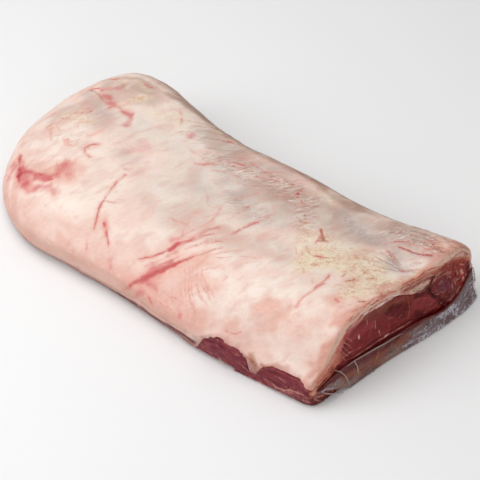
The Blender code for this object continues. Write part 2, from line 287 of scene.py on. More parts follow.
# %% Merge what nobody sees
HIDDEN_REACH = 0.0035  # a hidden point has its neighbour closer than this


def hidden_side(points, normals, gap, neighbours):
    """1 where a point lies on the seam side of its piece: its normal points into the neighbour."""
    facing = np.zeros(len(points))
    for i in np.flatnonzero(gap < HIDDEN_REACH):
        for node in neighbours:
            spot = trees[node].find_nearest(points[i], HIDDEN_REACH)[0]
            if spot is not None and (spot - Vector(points[i])).dot(normals[i]) > 0:
                facing[i] = 1
    return facing


def merge_hidden(piece, hidden, keep):
    """Merges faces where hidden is 1, until this share of them is left."""
    group = piece.vertex_groups.new(name="hidden")
    group.add(np.flatnonzero(hidden).tolist(), 1.0, "REPLACE")
    share = float(np.mean(hidden))
    with_modifier(piece, "DECIMATE", ratio=1 - share * (1 - keep), vertex_group="hidden")
    piece.vertex_groups.clear()
    print(f"{piece.name}: {share:.0%} of the net was hidden, {len(piece.data.polygons)} faces are left")


# %% [markdown]
# ## Relief and marks
#
# Relief comes from smooth random numbers on a lattice, the same thing as a noise texture, but worked out for
# each point of the net, so that it moves the mesh and not only the shading.
#
# The marks are drawn, as a painter would, as short strokes with a width and a strength. A stroke's points
# are in millimetres, just where they are on the meat. Soft strokes are stored on the mesh as how much of the
# mark each point has. A vein is thinner than the net, so it is stored in another way: on which side of the
# vein a point lies, and how far off. Between two points on either side that number passes through zero just
# where the vein runs, so the material can draw it sharp.
#
# A stroke with a clean edge looks like a felt pen. Before anything is measured, the points are therefore
# moved a little by the same smooth noise, so every edge wanders as it would in meat.

# %% Smooth random numbers
def lumps(points, size, seed):
    """Smooth random numbers from -1 to 1 for these points, with bumps about size metres apart.

    Three large primes scatter the corners of the lattice over a table of 4096 random numbers.
    """
    table = np.random.default_rng(seed).random(4096) * 2 - 1
    cell = np.asarray(points) / size
    low = np.floor(cell)
    part = cell - low
    part = part * part * (3 - 2 * part)
    low = low.astype(np.int64)
    total = np.zeros(len(cell))
    for corner in range(8):
        step = np.array([corner & 1, corner >> 1 & 1, corner >> 2 & 1])
        weight = np.prod(np.where(step, part, 1 - part), axis=1)
        x, y, z = (low + step).T
        total += weight * table[(x * 73856093 ^ y * 19349663 ^ z * 83492791) & 4095]
    return total


def wander(points, reach, size, seed):
    """The points, each moved by up to reach metres in a direction that changes smoothly over size metres."""
    return points + reach * np.stack([lumps(points, size, seed + i) for i in range(3)], axis=1)


def drawn_out(points, direction, factor):
    """Points for a noise whose bumps are factor times longer along this direction."""
    along = np.array(direction, float) / np.linalg.norm(direction)
    return points - (1 - 1 / factor) * (points @ along)[:, None] * along


# %% Read strokes and lay them on the meat
ROUTE_STEP = 0.0025  # between the points of an evenly spaced line


def route(text):
    """The points in a text like "10 20 30,40 50 60"."""
    return [[float(number) for number in point.split()] for point in text.split(",")]


def strokes(table):
    """Reads a table with a stroke a line: half its width in mm, its strength from 0 to 1, its points in mm.

    Where a table has several colours, the colour's name stands in front.
    """
    made = []
    for line in table.strip().splitlines():
        head, points = line.split(":")
        *colour, half, strength = head.split()
        made.append((*colour, float(half), float(strength), route(points)))
    return made


def smooth_route(stroke):
    """The stroke in metres as an evenly spaced line whose corners are rounded off."""
    rough = np.array(stroke, float) / 1000
    reach = np.concatenate([[0], np.cumsum(np.linalg.norm(np.diff(rough, axis=0), axis=1))])
    steps = np.linspace(0, reach[-1], max(2, int(reach[-1] / ROUTE_STEP) + 1))
    line = np.stack([np.interp(steps, reach, rough[:, axis]) for axis in range(rough.shape[1])], axis=1)
    for _ in range(3):
        line[1:-1] += 0.5 * ((line[:-2] + line[2:]) / 2 - line[1:-1])
    return line


def on_surface(stroke, node):
    """The smooth stroke, each of its points laid on the solid's surface."""
    return np.array([trees[node].find_nearest(Vector(p))[0] for p in smooth_route(stroke)])


def along_line(points, line):
    """For each point: its distance to the line, the way there, and that spot's direction and place.

    The place runs from 0 at the line's start to 1 at its end.
    """
    best = np.full(len(points), 1e9)
    way = np.zeros((len(points), 3))
    course = np.zeros((len(points), 3))
    share = np.zeros(len(points))
    for i, (a, b) in enumerate(zip(line, line[1:])):
        span = b - a
        t = np.clip((points - a) @ span / max(span @ span, 1e-12), 0, 1)
        off = points - a - t[:, None] * span
        away = np.linalg.norm(off, axis=1)
        closer = away < best
        best[closer], way[closer], course[closer] = away[closer], off[closer], span
        share[closer] = (i + t[closer]) / (len(line) - 1)
    return best, way, course, share


def beside(points, line, reach):
    """Which points lie in the line's box, made larger by reach on all sides."""
    return np.flatnonzero(np.all((points > line.min(0) - reach) & (points < line.max(0) + reach), axis=1))


# %% Soft and fine strokes
THINNEST = 0.7  # half a width in mm. The net can't hold a thinner one
OFF_THE_LINE = 3.0  # in half widths


def soft_marks(points, marks, node, widen=1.0):
    """How strongly soft strokes cover each point, from 0 to 1."""
    cover = np.zeros(len(points))
    for half, strength, stroke in marks:
        line = on_surface(stroke, node)
        half *= widen
        reach = 1.5 * half / 1000
        near = beside(points, line, reach)
        away = along_line(points[near], line)[0]
        mark = strength * (1 - ease(away, 0.25 * half / 1000, reach))
        cover[near] = 1 - (1 - cover[near]) * (1 - mark)
    return cover


def fine_marks(points, normals, marks, node):
    """For thin strokes: the side and distance in half widths, and the strength there."""
    side = np.full(len(points), OFF_THE_LINE)
    here = np.zeros(len(points))
    for half, strength, stroke in marks:
        line = on_surface(stroke, node)
        half = max(half, THINNEST) / 1000
        near = beside(points, line, OFF_THE_LINE * half)
        away, way, course, share = along_line(points[near], line)
        sign = np.where(np.einsum("ij,ij->i", np.cross(course, way), normals[near]) < 0, -1.0, 1.0)
        taper = 0.45 + 0.55 * np.sqrt(np.clip(np.sin(math.pi * share), 0, 1))
        there = strength * taper * (1 - ease(away / half, 1.3, 2.6))
        closer = away / half < np.abs(side[near])
        side[near[closer]] = (sign * away / half)[closer]
        here[near[closer]] = there[closer]
    return side, here


def store(piece, **values):
    """Keeps a number for each point of the mesh under a name that a material can read.

    A sheet has the same points in front and behind, so numbers for its front are used again for its back.
    """
    for name, numbers in values.items():
        layer = piece.data.attributes.new(name, "FLOAT", "POINT")
        layer.data.foreach_set("value", np.resize(numbers, len(layer.data)).astype(np.float32))


def store_lines(piece, name, points, normals, marks, node):
    """Stores thin strokes, and returns each point's distance in half widths and the strength there."""
    side, here = fine_marks(points, normals, marks, node)
    store(piece, **{name + "_side": side, name + "_here": here})
    return np.abs(side), here


# %% [markdown]
# ## Painting on the net
#
# The net is nearly as fine as the photograph, so the broad colours are painted straight on its points, one
# wash over the other, the way a watercolour is built up. Each wash is a colour and an amount from 0 to 1 for
# each point. The amount comes from noise, from a drawn stroke, or from where the point lies. The colours are
# mixed as they look on a screen, and turned into the linear numbers of the shader at the end.

# %% Washes
def linear(seen):
    """Colours as seen on a screen, 0 to 255, as the linear numbers that a shader wants."""
    share = np.clip(np.array(seen, float) / 255, 0, 1)
    return np.where(share < 0.04045, share / 12.92, ((share + 0.055) / 1.055) ** 2.4)


class Paint:
    """The colours on a net, from the ground colour up."""

    def __init__(self, count, ground):
        self.colour = np.tile(np.array(ground, float), (count, 1))

    def wash(self, colour, amount):
        self.colour += (np.array(colour, float) - self.colour) * np.clip(amount, 0, 1)[:, None]

    def keep(self, piece):
        """Stores the colours on the mesh, those of a sheet's front again on its back."""
        layer = piece.data.attributes.new("paint", "FLOAT_COLOR", "POINT")
        seen = np.resize(self.colour, (len(layer.data), 3))
        colours = np.c_[linear(seen), np.ones(len(seen))]
        layer.data.foreach_set("color", colours.astype(np.float32).ravel())
        print(f"{piece.name}: painted {len(seen)} points")


# %% [markdown]
# ## A short way to write materials
#
# A material here is a chain of small steps: take a noise, sharpen it, mix a colour in by it, mix the next
# colour over the result. Each step is a node. Written out in full, every node takes four or five lines, so a
# small class keeps the tree, the colour so far and the bumps so far, and lets each step be one call.

# %% Material recipes
def shader_colour(seen):
    return (*[float(c) for c in linear(seen)], 1.0)


class Recipe:
    """A material in the making. Its colour starts as what is painted on the net, or as the ground colour."""

    def __init__(self, name, ground=None):
        self.material = bpy.data.materials.new(name)
        self.material.use_nodes = True
        self.tree = self.material.node_tree
        self.shader = self.tree.nodes["Principled BSDF"]
        self.place = self.node("ShaderNodeTexCoord").outputs["Object"]
        self.colour = shader_colour(ground) if ground else self.stored("paint", "Color")
        self.normal = None

    def node(self, kind, inputs=(), **settings):
        made = self.tree.nodes.new(kind)
        for key, value in settings.items():
            setattr(made, key, value)
        for key, value in dict(inputs).items():
            self.feed(made.inputs[key], value)
        return made

    def feed(self, socket, value):
        """Links another node's socket, or sets a plain value."""
        if isinstance(value, bpy.types.NodeSocket):
            self.tree.links.new(value, socket)
        else:
            socket.default_value = value

    def stored(self, name, kind="Fac"):
        return self.node("ShaderNodeAttribute", attribute_name=name).outputs[kind]

    def math(self, operation, *values):
        return self.node("ShaderNodeMath", dict(enumerate(values)), operation=operation).outputs["Value"]

    def times(self, one, other):
        return self.math("MULTIPLY", one, other)

    def step(self, value, low, high, start=0.0, end=1.0):
        """Turns low to high into start to end, smoothly."""
        ends = {"Value": value, "From Min": low, "From Max": high, "To Min": start, "To Max": end}
        return self.node("ShaderNodeMapRange", ends, interpolation_type="SMOOTHSTEP").outputs["Result"]

    def stretched(self, factor, turn):
        """The place, for a noise whose features are factor times longer along the turned x axis."""
        turned = {"Vector": self.place, "Scale": (factor, 1, 1), "Rotation": [math.radians(a) for a in turn]}
        return self.node("ShaderNodeMapping", turned, vector_type="TEXTURE").outputs["Vector"]

    def noise(self, size, detail=2.0, roughness=0.5, distortion=0.0, place=None):
        """A noise texture with features about size metres apart."""
        return self.node("ShaderNodeTexNoise", {
            "Vector": place or self.place, "Scale": 1 / size, "Detail": detail, "Roughness": roughness,
            "Distortion": distortion}).outputs["Fac"]

    def wobble(self, size, reach):
        """A number from about -reach / 2 to reach / 2 that shifts a thin line to and fro."""
        return self.times(self.math("SUBTRACT", self.noise(size, 2), 0.5), reach)

    def grains(self, size, wander):
        """How far a spot lies from the edge of its grain, where a surface is made of grains this size."""
        shift = self.node("ShaderNodeTexNoise", {"Scale": 0.8 / size, "Vector": self.place}).outputs["Color"]
        moved = self.node("ShaderNodeVectorMath", {0: shift, 1: (wander, wander, wander), 2: self.place},
                          operation="MULTIPLY_ADD").outputs["Vector"]
        return self.node("ShaderNodeTexVoronoi", {"Scale": 1 / size, "Vector": moved},
                         feature="DISTANCE_TO_EDGE").outputs["Distance"]

    def line(self, name, wobble):
        """A thin stored stroke, drawn sharp: 1 on the line and 0 beside it."""
        away = self.math("ABSOLUTE", self.math("ADD", self.stored(name + "_side"), wobble))
        return self.times(self.stored(name + "_here"), self.step(away, 0.3, 1.15, 1.0, 0.0))

    def over(self, seen, amount):
        """Mixes one more colour over the colour so far."""
        layers = {"Factor": amount, 6: self.colour, 7: shader_colour(seen)}
        self.colour = self.node("ShaderNodeMix", layers, data_type="RGBA").outputs[2]

    def bump(self, height, depth, strength=1.0):
        """Lays one more set of bumps, depth metres high, over those so far."""
        made = self.node("ShaderNodeBump", {"Height": height, "Distance": depth, "Strength": strength})
        if self.normal:
            self.feed(made.inputs["Normal"], self.normal)
        self.normal = made.outputs["Normal"]

    def finish(self, roughness, **fixed):
        """Feeds the shader. An underscore in the name of a fixed value stands for a space."""
        for name, value in {"Base Color": self.colour, "Roughness": roughness, "Normal": self.normal}.items():
            self.feed(self.shader.inputs[name], value)
        for name, value in fixed.items():
            self.shader.inputs[name.replace("_", " ")].default_value = value
        print(f"material {self.material.name}: {len(self.tree.nodes)} nodes")
        return self.material


# %% [markdown]
# ## The fat cap
#
# The cap is one sheet of fat, a centimetre thick, that wraps over the top and down the near side. It is
# cream with a pink flush, yellow and grainy towards the cut end, grey where a thin membrane covers it. Its
# crown, its far edge and its steeply sloping and low sides also carry painted shade. It has low lumps a few
# centimetres across, finer ones from the knife, and folds where the film gathers.
#
# The net's squares are 1.7 mm wide, half that by the window in the near side, and a quarter of it at the rim
# of the cut. The side of the cap that lies on the lean is never seen, so its faces are merged into larger
# ones, and what is saved there pays for the fine net outside.
#
# The long tables below are the drawn strokes, one a line: half its width and its strength, then after the
# colon its points. The tables called LINES and CREASES hold veins, threads, knife scores and folds, and the
# others hold brush strokes.

# %% Marks on the fat: thin red streaks, and knife scores where they are wide
ROSE_LINES = strokes("""
0.8 0.9: -23 -113 22,-9 -110 36,0 -102 43,5 -95 48,11 -88 53,17 -80 57,27 -70 62,37 -59 66,46 -45 69
2.2 0.75: -3 -105 40,2 -100 45,6 -93 50
1.3 0.6: 6 -93 50,14 -84 55,20 -77 59
1.1 0.75: -17 -92 50,-6 -82 56,2 -75 59,5 -70 61,8 -63 64,16 -56 66,29 -38 70
2.2 0.7: 3 -72 60,6 -68 62
0.7 0.7: 6 -55 66,9 -48 67,15 -40 69,18 -32 70
0.6 0.45: 9 -62 64,24 -51 67,40 -37 70
0.9 0.8: 43 -27 71,47 -22 71,49 -11 71,55 -1 71
0.8 0.7: 14 -39 69,18 -28 70,18 -17 70,15 -7 70
0.7 0.45: 10 -25 70,17 -16 70
0.8 0.5: 18 12 70,22 18 70,30 32 70
0.9 0.95: -44 73 67,-37 79 65,-26 84 63
0.9 0.7: -43 27 71,-36 32 70,-30 39 70
1 0.75: -18 49 70,-11 53 69,-4 55 69
0.7 0.5: -22 55 69,-15 62 69,-7 64 69,-5 71 68
1.1 0.75: -89 -26 68,-91 -35 67,-91 -44 66,-90 -53 64,-88 -61 63,-86 -69 60,-83 -77 57,-80 -84 55,-77 -89 52
0.6 0.6: -88 -61 63,-82 -62 62,-78 -62 62,-75 -58 63
2 0.6: -72 -80 56,-69 -82 56
0.7 0.5: -70 -83 55,-62 -90 51,-55 -97 46
1 0.4: -78 -96 47,-74 -106 38
0.8 0.7: -160 -21 65,-166 -24 63,-171 -24 62,-178 -19 60
1.5 0.6: -139 -8 70,-148 -13 68,-149 -20 67,-145 -25 67,-139 -28 67,-135 -28 68
0.8 0.7: -197 55 62,-189 54 64
0.8 0.7: -171 48 66,-163 47 67,-151 43 67
1 0.9: -209 55 60,-206 58 62,-202 61 63
1 0.5: -199 76 66,-190 79 68
0.9 0.75: -159 86 72,-154 85 73,-150 87 72
0.7 0.6: -186 5 61,-179 9 63,-171 13 66
0.6 0.75: -166 -44 60,-151 -64 60
0.6 0.75: -162 -45 61,-149 -62 60
0.6 0.75: -157 -45 62,-146 -61 61
0.6 0.75: -156 -41 63,-144 -59 62
0.6 0.75: -152 -41 64,-140 -59 62
0.6 0.75: -148 -41 64,-138 -56 63
0.6 0.75: -147 -37 65,-134 -56 63
0.6 0.45: -171 -76 52,-163 -88 49
0.6 0.45: -158 -72 57,-150 -85 53
0.6 0.45: -150 -69 59,-143 -79 57
1 0.9: 108 28 71,114 21 71,117 19 72
1.2 0.75: 114 14 72,115 10 73
0.7 0.6: 120 17 72,125 21 72
0.9 0.85: 59 50 70,61 56 70,63 63 70,63 65 69
0.7 0.7: 63 63 70,59 66 69,64 69 69
0.8 0.8: 60 55 70,64 49 70,68 49 70,72 48 70
0.6 0.5: 52 60 70,47 67 69,48 73 68,53 75 68
0.7 0.6: 74 47 70,78 45 70
0.6 0.6: 70 77 67,76 72 68
0.6 0.6: 77 77 67,76 85 63
0.9 0.9: 150 -31 77,152 -26 77,152 -20 77,151 -17 77
1.1 0.5: 146 -67 69,147 -60 72,149 -54 75,151 -45 76
1.2 0.9: 124 -6 74,128 -5 74,131 -4 74
0.6 0.6: 131 -5 74,137 0 75
1 0.8: 179 55 70,187 57 71,193 56 71,200 58 72,210 61 73
0.6 0.6: 167 55 69,176 60 71,184 67 73
1 0.8: 206 78 74,212 84 74,217 93 71
0.6 0.6: 189 70 73,196 73 74,202 76 74,206 78 74
0.7 0.6: 192 65 73,198 63 73,204 65 74,207 70 74,207 76 75
0.6 0.6: 195 70 74,201 67 74,204 71 74
0.6 0.6: 210 73 74,216 71 74,222 74 72
0.8 0.7: 137 70 68,139 73 68,140 78 68,141 81 67
0.8 0.6: 171 45 68,178 42 68,184 38 69,192 34 69
0.6 0.5: 176 47 68,183 42 69,194 37 69
0.7 0.5: 200 34 70,204 39 70,208 44 71
0.9 0.8: 201 -34 78,203 -22 78,205 -11 78,206 -3 78
0.9 0.8: 201 -33 75,204 -19 74,207 -6 74,208 2 74
0.7 0.6: 200 -21 80,200 -9 79,204 -2 78,206 -2 77
0.7 0.6: 184 -30 80,192 -33 80,194 -29 80
0.6 0.5: 170 -35 79,175 -30 80
1.5 0.6: 174 -41 79,178 -43 79
0.7 0.6: 29 -82 57,47 -98 47,57 -112 35
0.7 0.6: 33 -80 58,50 -96 48,63 -109 37
0.7 0.6: 35 -94 50,48 -105 41
0.7 0.55: 53 -84 57,67 -93 51
0.7 0.55: 58 -82 58,71 -90 53
0.6 0.5: 44 -81 58,60 -96 48
0.6 0.4: 21 -103 42,30 -105 41,40 -107 39,46 -112 35
0.6 0.4: 28 -108 38,37 -111 36,44 -116 32
1.2 0.6: 10 -113 34,15 -114 29
0.7 0.6: 51 -113 34,52 -107 39
0.9 0.5: 97 -105 39,104 -105 39,109 -101 42,110 -96 46
0.8 0.6: 69 -73 62,70 -70 64,71 -65 66
0.7 0.8: -99 72 70,-92 64 70
0.8 0.6: -207 -10 52,-197 -19 54,-192 -23 55
0.8 0.7: -207 8 54,-203 10 56,-200 13 57
0.7 0.6: -198 0 56,-198 5 57,-200 8 57
0.9 0.6: -223 12 48,-222 15 49
0.7 0.5: -203 17 57,-198 20 59,-192 22 61
0.9 0.6: -202 39 60,-198 40 61
0.7 0.5: -226 7 46,-223 9 48
0.8 0.35: -161 -2 67,-153 -2 69,-153 7 69,-149 8 70
0.7 0.4: -235 -13 38,-229 -26 40,-226 -35 40
0.7 0.5: -184 -102 18,-183 -98 29,-192 -92 29
0.8 0.45: -79 55 70,-71 55 70
0.6 0.35: -65 41 70,-55 37 70,-42 38 70
0.6 0.4: -2 -19 70,0 -29 70,3 -42 68,2 -48 67,7 -55 66
0.6 0.35: -13 3 70,-4 -2 70,0 -11 70,7 -10 70
0.7 0.5: -3 85 62,4 86 62
0.7 0.4: 16 60 69,26 67 69,32 71 68
0.7 0.35: 51 30 71,56 23 71
0.6 0.35: 115 64 68,121 58 68,127 56 68
0.7 0.7: -25 42 70,-14 47 70,1 51 69
0.7 0.6: -25 30 70,-14 35 70,-2 38 70
0.8 0.7: -3 63 69,8 61 69,23 65 69
0.7 0.6: 12 51 69,27 53 70,37 59 70
0.6 0.6: 4 31 70,18 35 70,27 42 70
0.7 0.5: 51 43 70,63 39 70,73 42 70
0.7 0.6: 34 13 71,33 0 71,30 -9 71
0.6 0.6: 56 14 71,51 2 71,49 -12 71
0.7 0.6: 24 -57 66,30 -49 68,38 -41 69
0.7 0.7: -7 -94 49,0 -85 55,8 -77 59
0.7 0.6: 12 -73 60,19 -64 64,28 -55 66
0.6 0.6: 4 -87 53,11 -80 57,19 -69 62
0.7 0.6: 28 -55 66,37 -46 69,43 -35 70
0.6 0.5: 193 43 69,196 50 70,206 56 72
0.7 0.7: 186 63 72,196 65 73,207 64 74,217 66 74
0.7 0.7: 205 85 74,217 83 74,225 86 69
0.6 0.7: 193 80 74,203 81 74,215 79 74
0.6 0.6: 172 61 70,182 62 72,188 66 73
0.7 0.7: 219 76 75,224 80 69,226 85 60
0.6 0.6: 192 -39 80,196 -33 80,198 -23 80
0.6 0.6: 190 -55 77,193 -47 80,196 -39 80
0.6 0.6: 193 -67 68,194 -60 74,194 -54 77
2 0.6: -15 -113 33,-9 -108 37,-3 -103 42
2.3 0.95: -4 -103 42,3 -96 48,10 -89 53
2 0.8: 8 -91 51,12 -87 54,17 -82 57
1.3 0.85: 16 -83 56,23 -74 60,32 -64 64
2.1 0.9: 4 -73 60,6 -68 62,8 -63 64
0.5 0.7: -6 -90 52,4 -79 57,13 -68 62,24 -57 66,37 -46 69
0.4 0.6: 8 -91 51,20 -79 58,34 -67 64,50 -50 68,63 -40 71
0.4 0.6: 35 -71 62,49 -59 67,66 -46 70,86 -36 72
0.4 0.5: 48 -73 62,63 -61 67,80 -46 71
0.5 0.65: 44 -27 71,49 -11 71,56 4 71,60 21 71
0.4 0.5: 52 -32 71,60 -17 71,67 -1 72
1.2 0.9: -71 -78 57,-63 -86 54,-56 -95 48
0.4 0.55: 29 -76 60,41 -88 54,52 -100 46,58 -106 40
0.4 0.55: 34 -76 60,46 -88 54,57 -101 45
0.4 0.5: 40 -75 61,51 -85 55,60 -95 49
0.4 0.5: 45 -72 62,58 -83 57,68 -93 51
0.4 0.5: 27 -109 37,32 -104 42,43 -103 43,51 -106 40
0.4 0.5: 6 -111 35,18 -111 35,33 -111 35
0.5 0.6: -20 -43 67,-7 -43 68,3 -40 68
0.4 0.5: 52 -93 51,60 -96 48,68 -98 47
0.9 0.8: -196 104 40,-160 112 44,-128 114 38
0.8 0.6: -186 108 30,-168 112 26,-150 114 27
1 0.8: -60 103 46,-30 99 38,-8 97 36
0.7 0.6: -44 100 50,-36 99 42,-30 98 36
0.9 0.7: 40 98 34,70 99 40,96 98 50
0.7 0.6: 120 98 36,140 99 34,166 102 38
0.9 0.8: 176 103 50,196 105 44,214 106 36
0.7 0.6: -110 114 34,-96 112 40,-84 109 42
0.8 0.6: 4 97 52,16 97 44,20 97 36
""")

# %% Marks on the fat: red and pink patches
ROSE_PATCHES = strokes("""
3.9 0.75: -187 53 64,-179 50 65,-170 45 66
3.7 0.75: -149 43 68,-140 38 69,-134 32 70
2.5 0.5: -195 61 64,-187 66 66,-179 71 68
4.4 0.95: -194 -67 46,-176 -69 52,-162 -68 56,-151 -61 60
2.9 0.8: -165 -73 55,-154 -67 59
5.9 0.22: -154 -55 61,-146 -46 64
2.9 0.8: -200 -58 46,-186 -69 48
4.4 0.95: -4 -107 38,2 -101 44,6 -94 49
2.5 0.6: 6 -93 50,15 -82 56
2.5 0.5: -15 -113 29,-6 -109 37
3.9 0.5: -175 -84 47,-160 -84 52,-150 -78 56
2.9 0.35: -147 -78 57,-132 -80 57
4.9 0.2: -149 -49 63,-136 -57 63
2.5 0.95: 113 19 72,119 18 72
2.5 0.75: 151 -42 76,153 -35 77
2 0.85: 198 33 70,202 35 70
2.9 0.5: -176 -20 61,-173 -23 62
2 0.35: -96 -21 69,-92 -18 69
2.5 0.4: 180 -49 79,183 -47 79
2 0.6: 195 -72 62,195 -69 64
2 0.55: 49 -113 34,51 -113 34
2.9 0.45: -5 -114 25,3 -113 33
1.7 0.5: 14 -54 66,22 -42 69,31 -29 70
3.4 0.35: 2 -64 63,5 -60 64
3.9 0.3: 6 -104 41,11 -101 44
5.9 0.25: -108 6 71,-100 15 71
3.4 0.5: -211 -65 37,-205 -78 33
2.9 0.35: -46 -106 39,-41 -109 36
2.9 0.35: -75 57 70,-73 56 70
2 0.5: -216 -49 42,-208 -54 44
6.4 0.7: -212 -61 39,-190 -75 45,-169 -81 51
3.4 0.45: 6 -104 41,14 -106 40
3 0.7: -150 113 40,-136 114 37
2.6 0.6: -24 98 39,-14 98 37
3.2 0.7: 186 104 47,198 105 42
""")

BLOOD = strokes("""
2.7 0.95: -208 -52 44,-202 -62 44,-195 -70 44,-188 -79 44
1.5 0.6: -191 -70 46,-185 -70 48
2 0.45: 0 -103 42,3 -100 45
1.5 0.45: -167 -65 55,-163 -67 56
1.1 0.7: -191 27 62,-189 28 62
1.4 0.8: -181 29 64,-179 28 65
1.2 0.5: -205 10 55,-202 11 56
1.3 0.5: 116 19 72,118 17 72
1.1 0.5: -209 -77 29,-210 -73 32
1.2 0.35: -155 -69 58,-151 -67 59
1 0.4: -180 47 65,-175 48 65
1 0.4: -140 36 69,-138 34 70
""")

BLUSH = strokes("""
10.8 0.7: -2 -110 35,19 -90 52,39 -64 65
9.8 0.6: 36 -99 46,46 -84 56
7.8 0.6: 129 -90 49,146 -82 56
7.8 0.7: 6 -114 30,21 -115 24
14.7 0.85: -184 -71 49,-159 -64 58,-140 -53 63
5.9 0.7: -214 -68 32,-193 -94 24,-173 -108 16
6.9 0.5: -197 -90 26,-173 -108 16
5.9 0.5: -157 -114 17,-141 -116 17
10.8 0.85: 118 -78 61,137 -76 62
3.4 0.6: 120 -73 64,129 -77 61,139 -79 60
2.9 0.6: 140 -79 59,141 -71 66,140 -65 70
7.8 0.6: 156 -83 55,162 -79 58
2.5 0.5: 141 -89 49,143 -85 53
7.1 0.75: 101 -99 44,102 -99 44
8.8 0.35: 29 -35 70,54 -28 71
4.9 0.5: 36 -71 62,46 -68 64
6.9 0.3: 69 -13 72,82 -10 72
4.9 0.35: 68 -53 69,95 -28 73
6.9 0.3: 79 -60 68,111 -41 73
6.9 0.35: 156 -72 66,173 -68 69
5.9 0.35: 180 -77 60,185 -72 65
5.9 0.4: 181 -90 42,191 -85 48
12.7 0.45: -13 -112 34,50 -115 33
5.9 0.4: 30 -112 35,42 -108 38
6.9 0.3: 88 -84 57,95 -87 55
4.9 0.35: 74 -115 33,77 -107 39
5.9 0.4: 180 -52 78,195 -53 77
5.9 0.35: 186 -34 80,199 -36 80
4.9 0.3: -152 7 70,-159 -6 67
7.8 0.3: -153 105 67,-155 105 67
9.8 0.7: 171 -41 79,186 -40 80,188 -56 76
6.9 0.6: 181 -26 80,195 -25 81
4.9 0.6: 196 -58 74,194 -49 79
6.9 0.55: 194 -89 38,194 -77 57
8.8 0.6: 16 -80 58,38 -69 63,59 -58 67
9.8 0.5: 40 -87 55,65 -80 59
7.8 0.5: 6 -60 65,20 -46 68
5.9 0.6: -188 -83 41,-164 -86 50
6.9 0.5: -210 -56 42,-189 -66 48
4.9 0.4: -188 54 64,-149 47 68
11 0.6: -190 106 36,-130 114 36
9 0.5: -50 101 42,0 97 38
10 0.5: 170 102 44,214 106 40
8 0.5: 70 99 36,96 98 34
""")

FLESH = strokes("""
12.7 0.6: -28 -109 36,23 -111 36,70 -110 37
9.8 0.35: 70 -110 37,116 -108 35,137 -103 36
7.8 0.7: 203 70 74,220 78 74,226 88 65
6.9 0.7: -56 -109 35,-31 -108 37,-2 -110 35
5.9 0.6: -105 -110 35,-77 -112 33
9.8 0.7: -207 -7 52,-201 14 57,-186 32 63
7.8 0.7: 32 -115 24,63 -116 32
6.9 0.6: -186 -88 38,-170 -107 29,-141 -116 17
""")

# %% Marks on the fat: grey-brown and pale grey where the membrane lies over it, and painted shade where the top turns away from the light
# Grey-brown washes: partly membrane, and partly painted shade along the crown, where the top turns away from
# the light towards the far side.
TAUPE_MEMBRANE_AND_SHADE = strokes("""
22.5 0.75: -19 54 69,22 49 70,62 44 70
19.6 0.7: 59 49 70,97 51 70,123 55 68
16.7 0.6: 117 64 68,159 61 69,186 62 72
14.7 0.55: -187 40 63,-176 66 68,-142 74 72
14.7 0.5: -210 9 53,-194 23 60,-164 20 67
12.7 0.55: -72 70 69,-25 66 68
14.7 0.7: 14 16 70,49 13 71
12.7 0.3: -5 -48 67,17 -43 68,42 -36 70
14.7 0.25: 55 -30 71,79 -26 72,96 -21 73
13.7 0.3: -20 -43 67,-6 -28 70,16 -13 70
12.7 0.7: 118 36 70,134 39 70,151 51 68
11.8 0.85: 160 71 70,176 68 72,190 71 74
9.8 0.7: -194 71 66,-173 79 71,-150 83 72
4.9 0.3: -112 -1 70,-108 2 71
""")

BONE = strokes("""
29.4 0.75: -45 -20 70,-26 11 71,-8 29 70
22.5 0.5: -111 37 71,-68 33 71
19.6 0.5: 23 5 71,66 20 71
14.7 0.5: -158 45 67,-124 37 71
16.7 0.4: 80 32 71,113 36 70
11.8 0.6: 184 36 69,205 50 71
""")

# Grey patches: partly membrane, and partly painted shade in the hollow by the far corner of the cut and on
# the crown.
GREY_HAZE_AND_SHADE = strokes("""
12.7 0.6: 179 65 72,202 64 73,217 66 74
10.8 0.5: 184 36 69,196 38 69
9.8 0.85: 124 57 68,142 54 68,165 53 69,185 44 69
6.9 0.5: 105 73 66,121 61 68
6.9 0.7: -208 50 60,-184 39 64,-161 33 67
12.7 0.45: -9 34 70,27 17 71
14.7 0.3: 47 5 71,89 21 71
7.8 0.4: -76 66 69,-34 62 69
9.8 0.3: -30 8 71,3 -2 70
6.9 0.35: -208 30 57,-224 23 50
5.9 0.45: -1 59 69,32 73 68
8.8 0.3: 65 37 70,80 32 71
4.9 0.4: 167 65 71,188 76 73
6.9 0.3: -116 -4 70,-97 -3 70
3.9 0.3: -137 21 70,-146 19 70
9 0.6: -20 98 48,20 97 46
8 0.6: 96 98 42,120 98 40
""")

# %% Marks on the fat: yellow fat, white fat and one painted glint
TALLOW = strokes("""
12.7 0.8: 120 -19 74,131 10 73,151 23 72
9.8 0.5: 101 4 72,108 24 71,130 28 71
8.8 0.6: 206 7 77,210 30 72
9.8 0.6: 184 -2 78,176 -23 79
16.7 0.9: 129 -6 74,152 4 75,178 16 74
10.8 0.8: 203 11 76,198 -6 79,178 -25 80
6.9 0.45: 69 68 69,79 75 67,93 72 67
7.8 0.6: -206 13 55,-172 16 66
4.9 0.7: -159 57 69,-150 67 71,-141 76 72
6.9 0.5: 215 78 75,226 88 66
6.9 0.4: 89 21 71,106 17 72
5.9 0.4: -183 82 70,-150 83 72
8.8 0.35: -130 60 71,-85 69 69
5.9 0.45: 209 11 76,216 43 71
9 0.7: -96 112 46,-60 103 40
10 0.7: 30 98 42,60 99 46
8 0.6: 126 98 46,156 100 44
""")
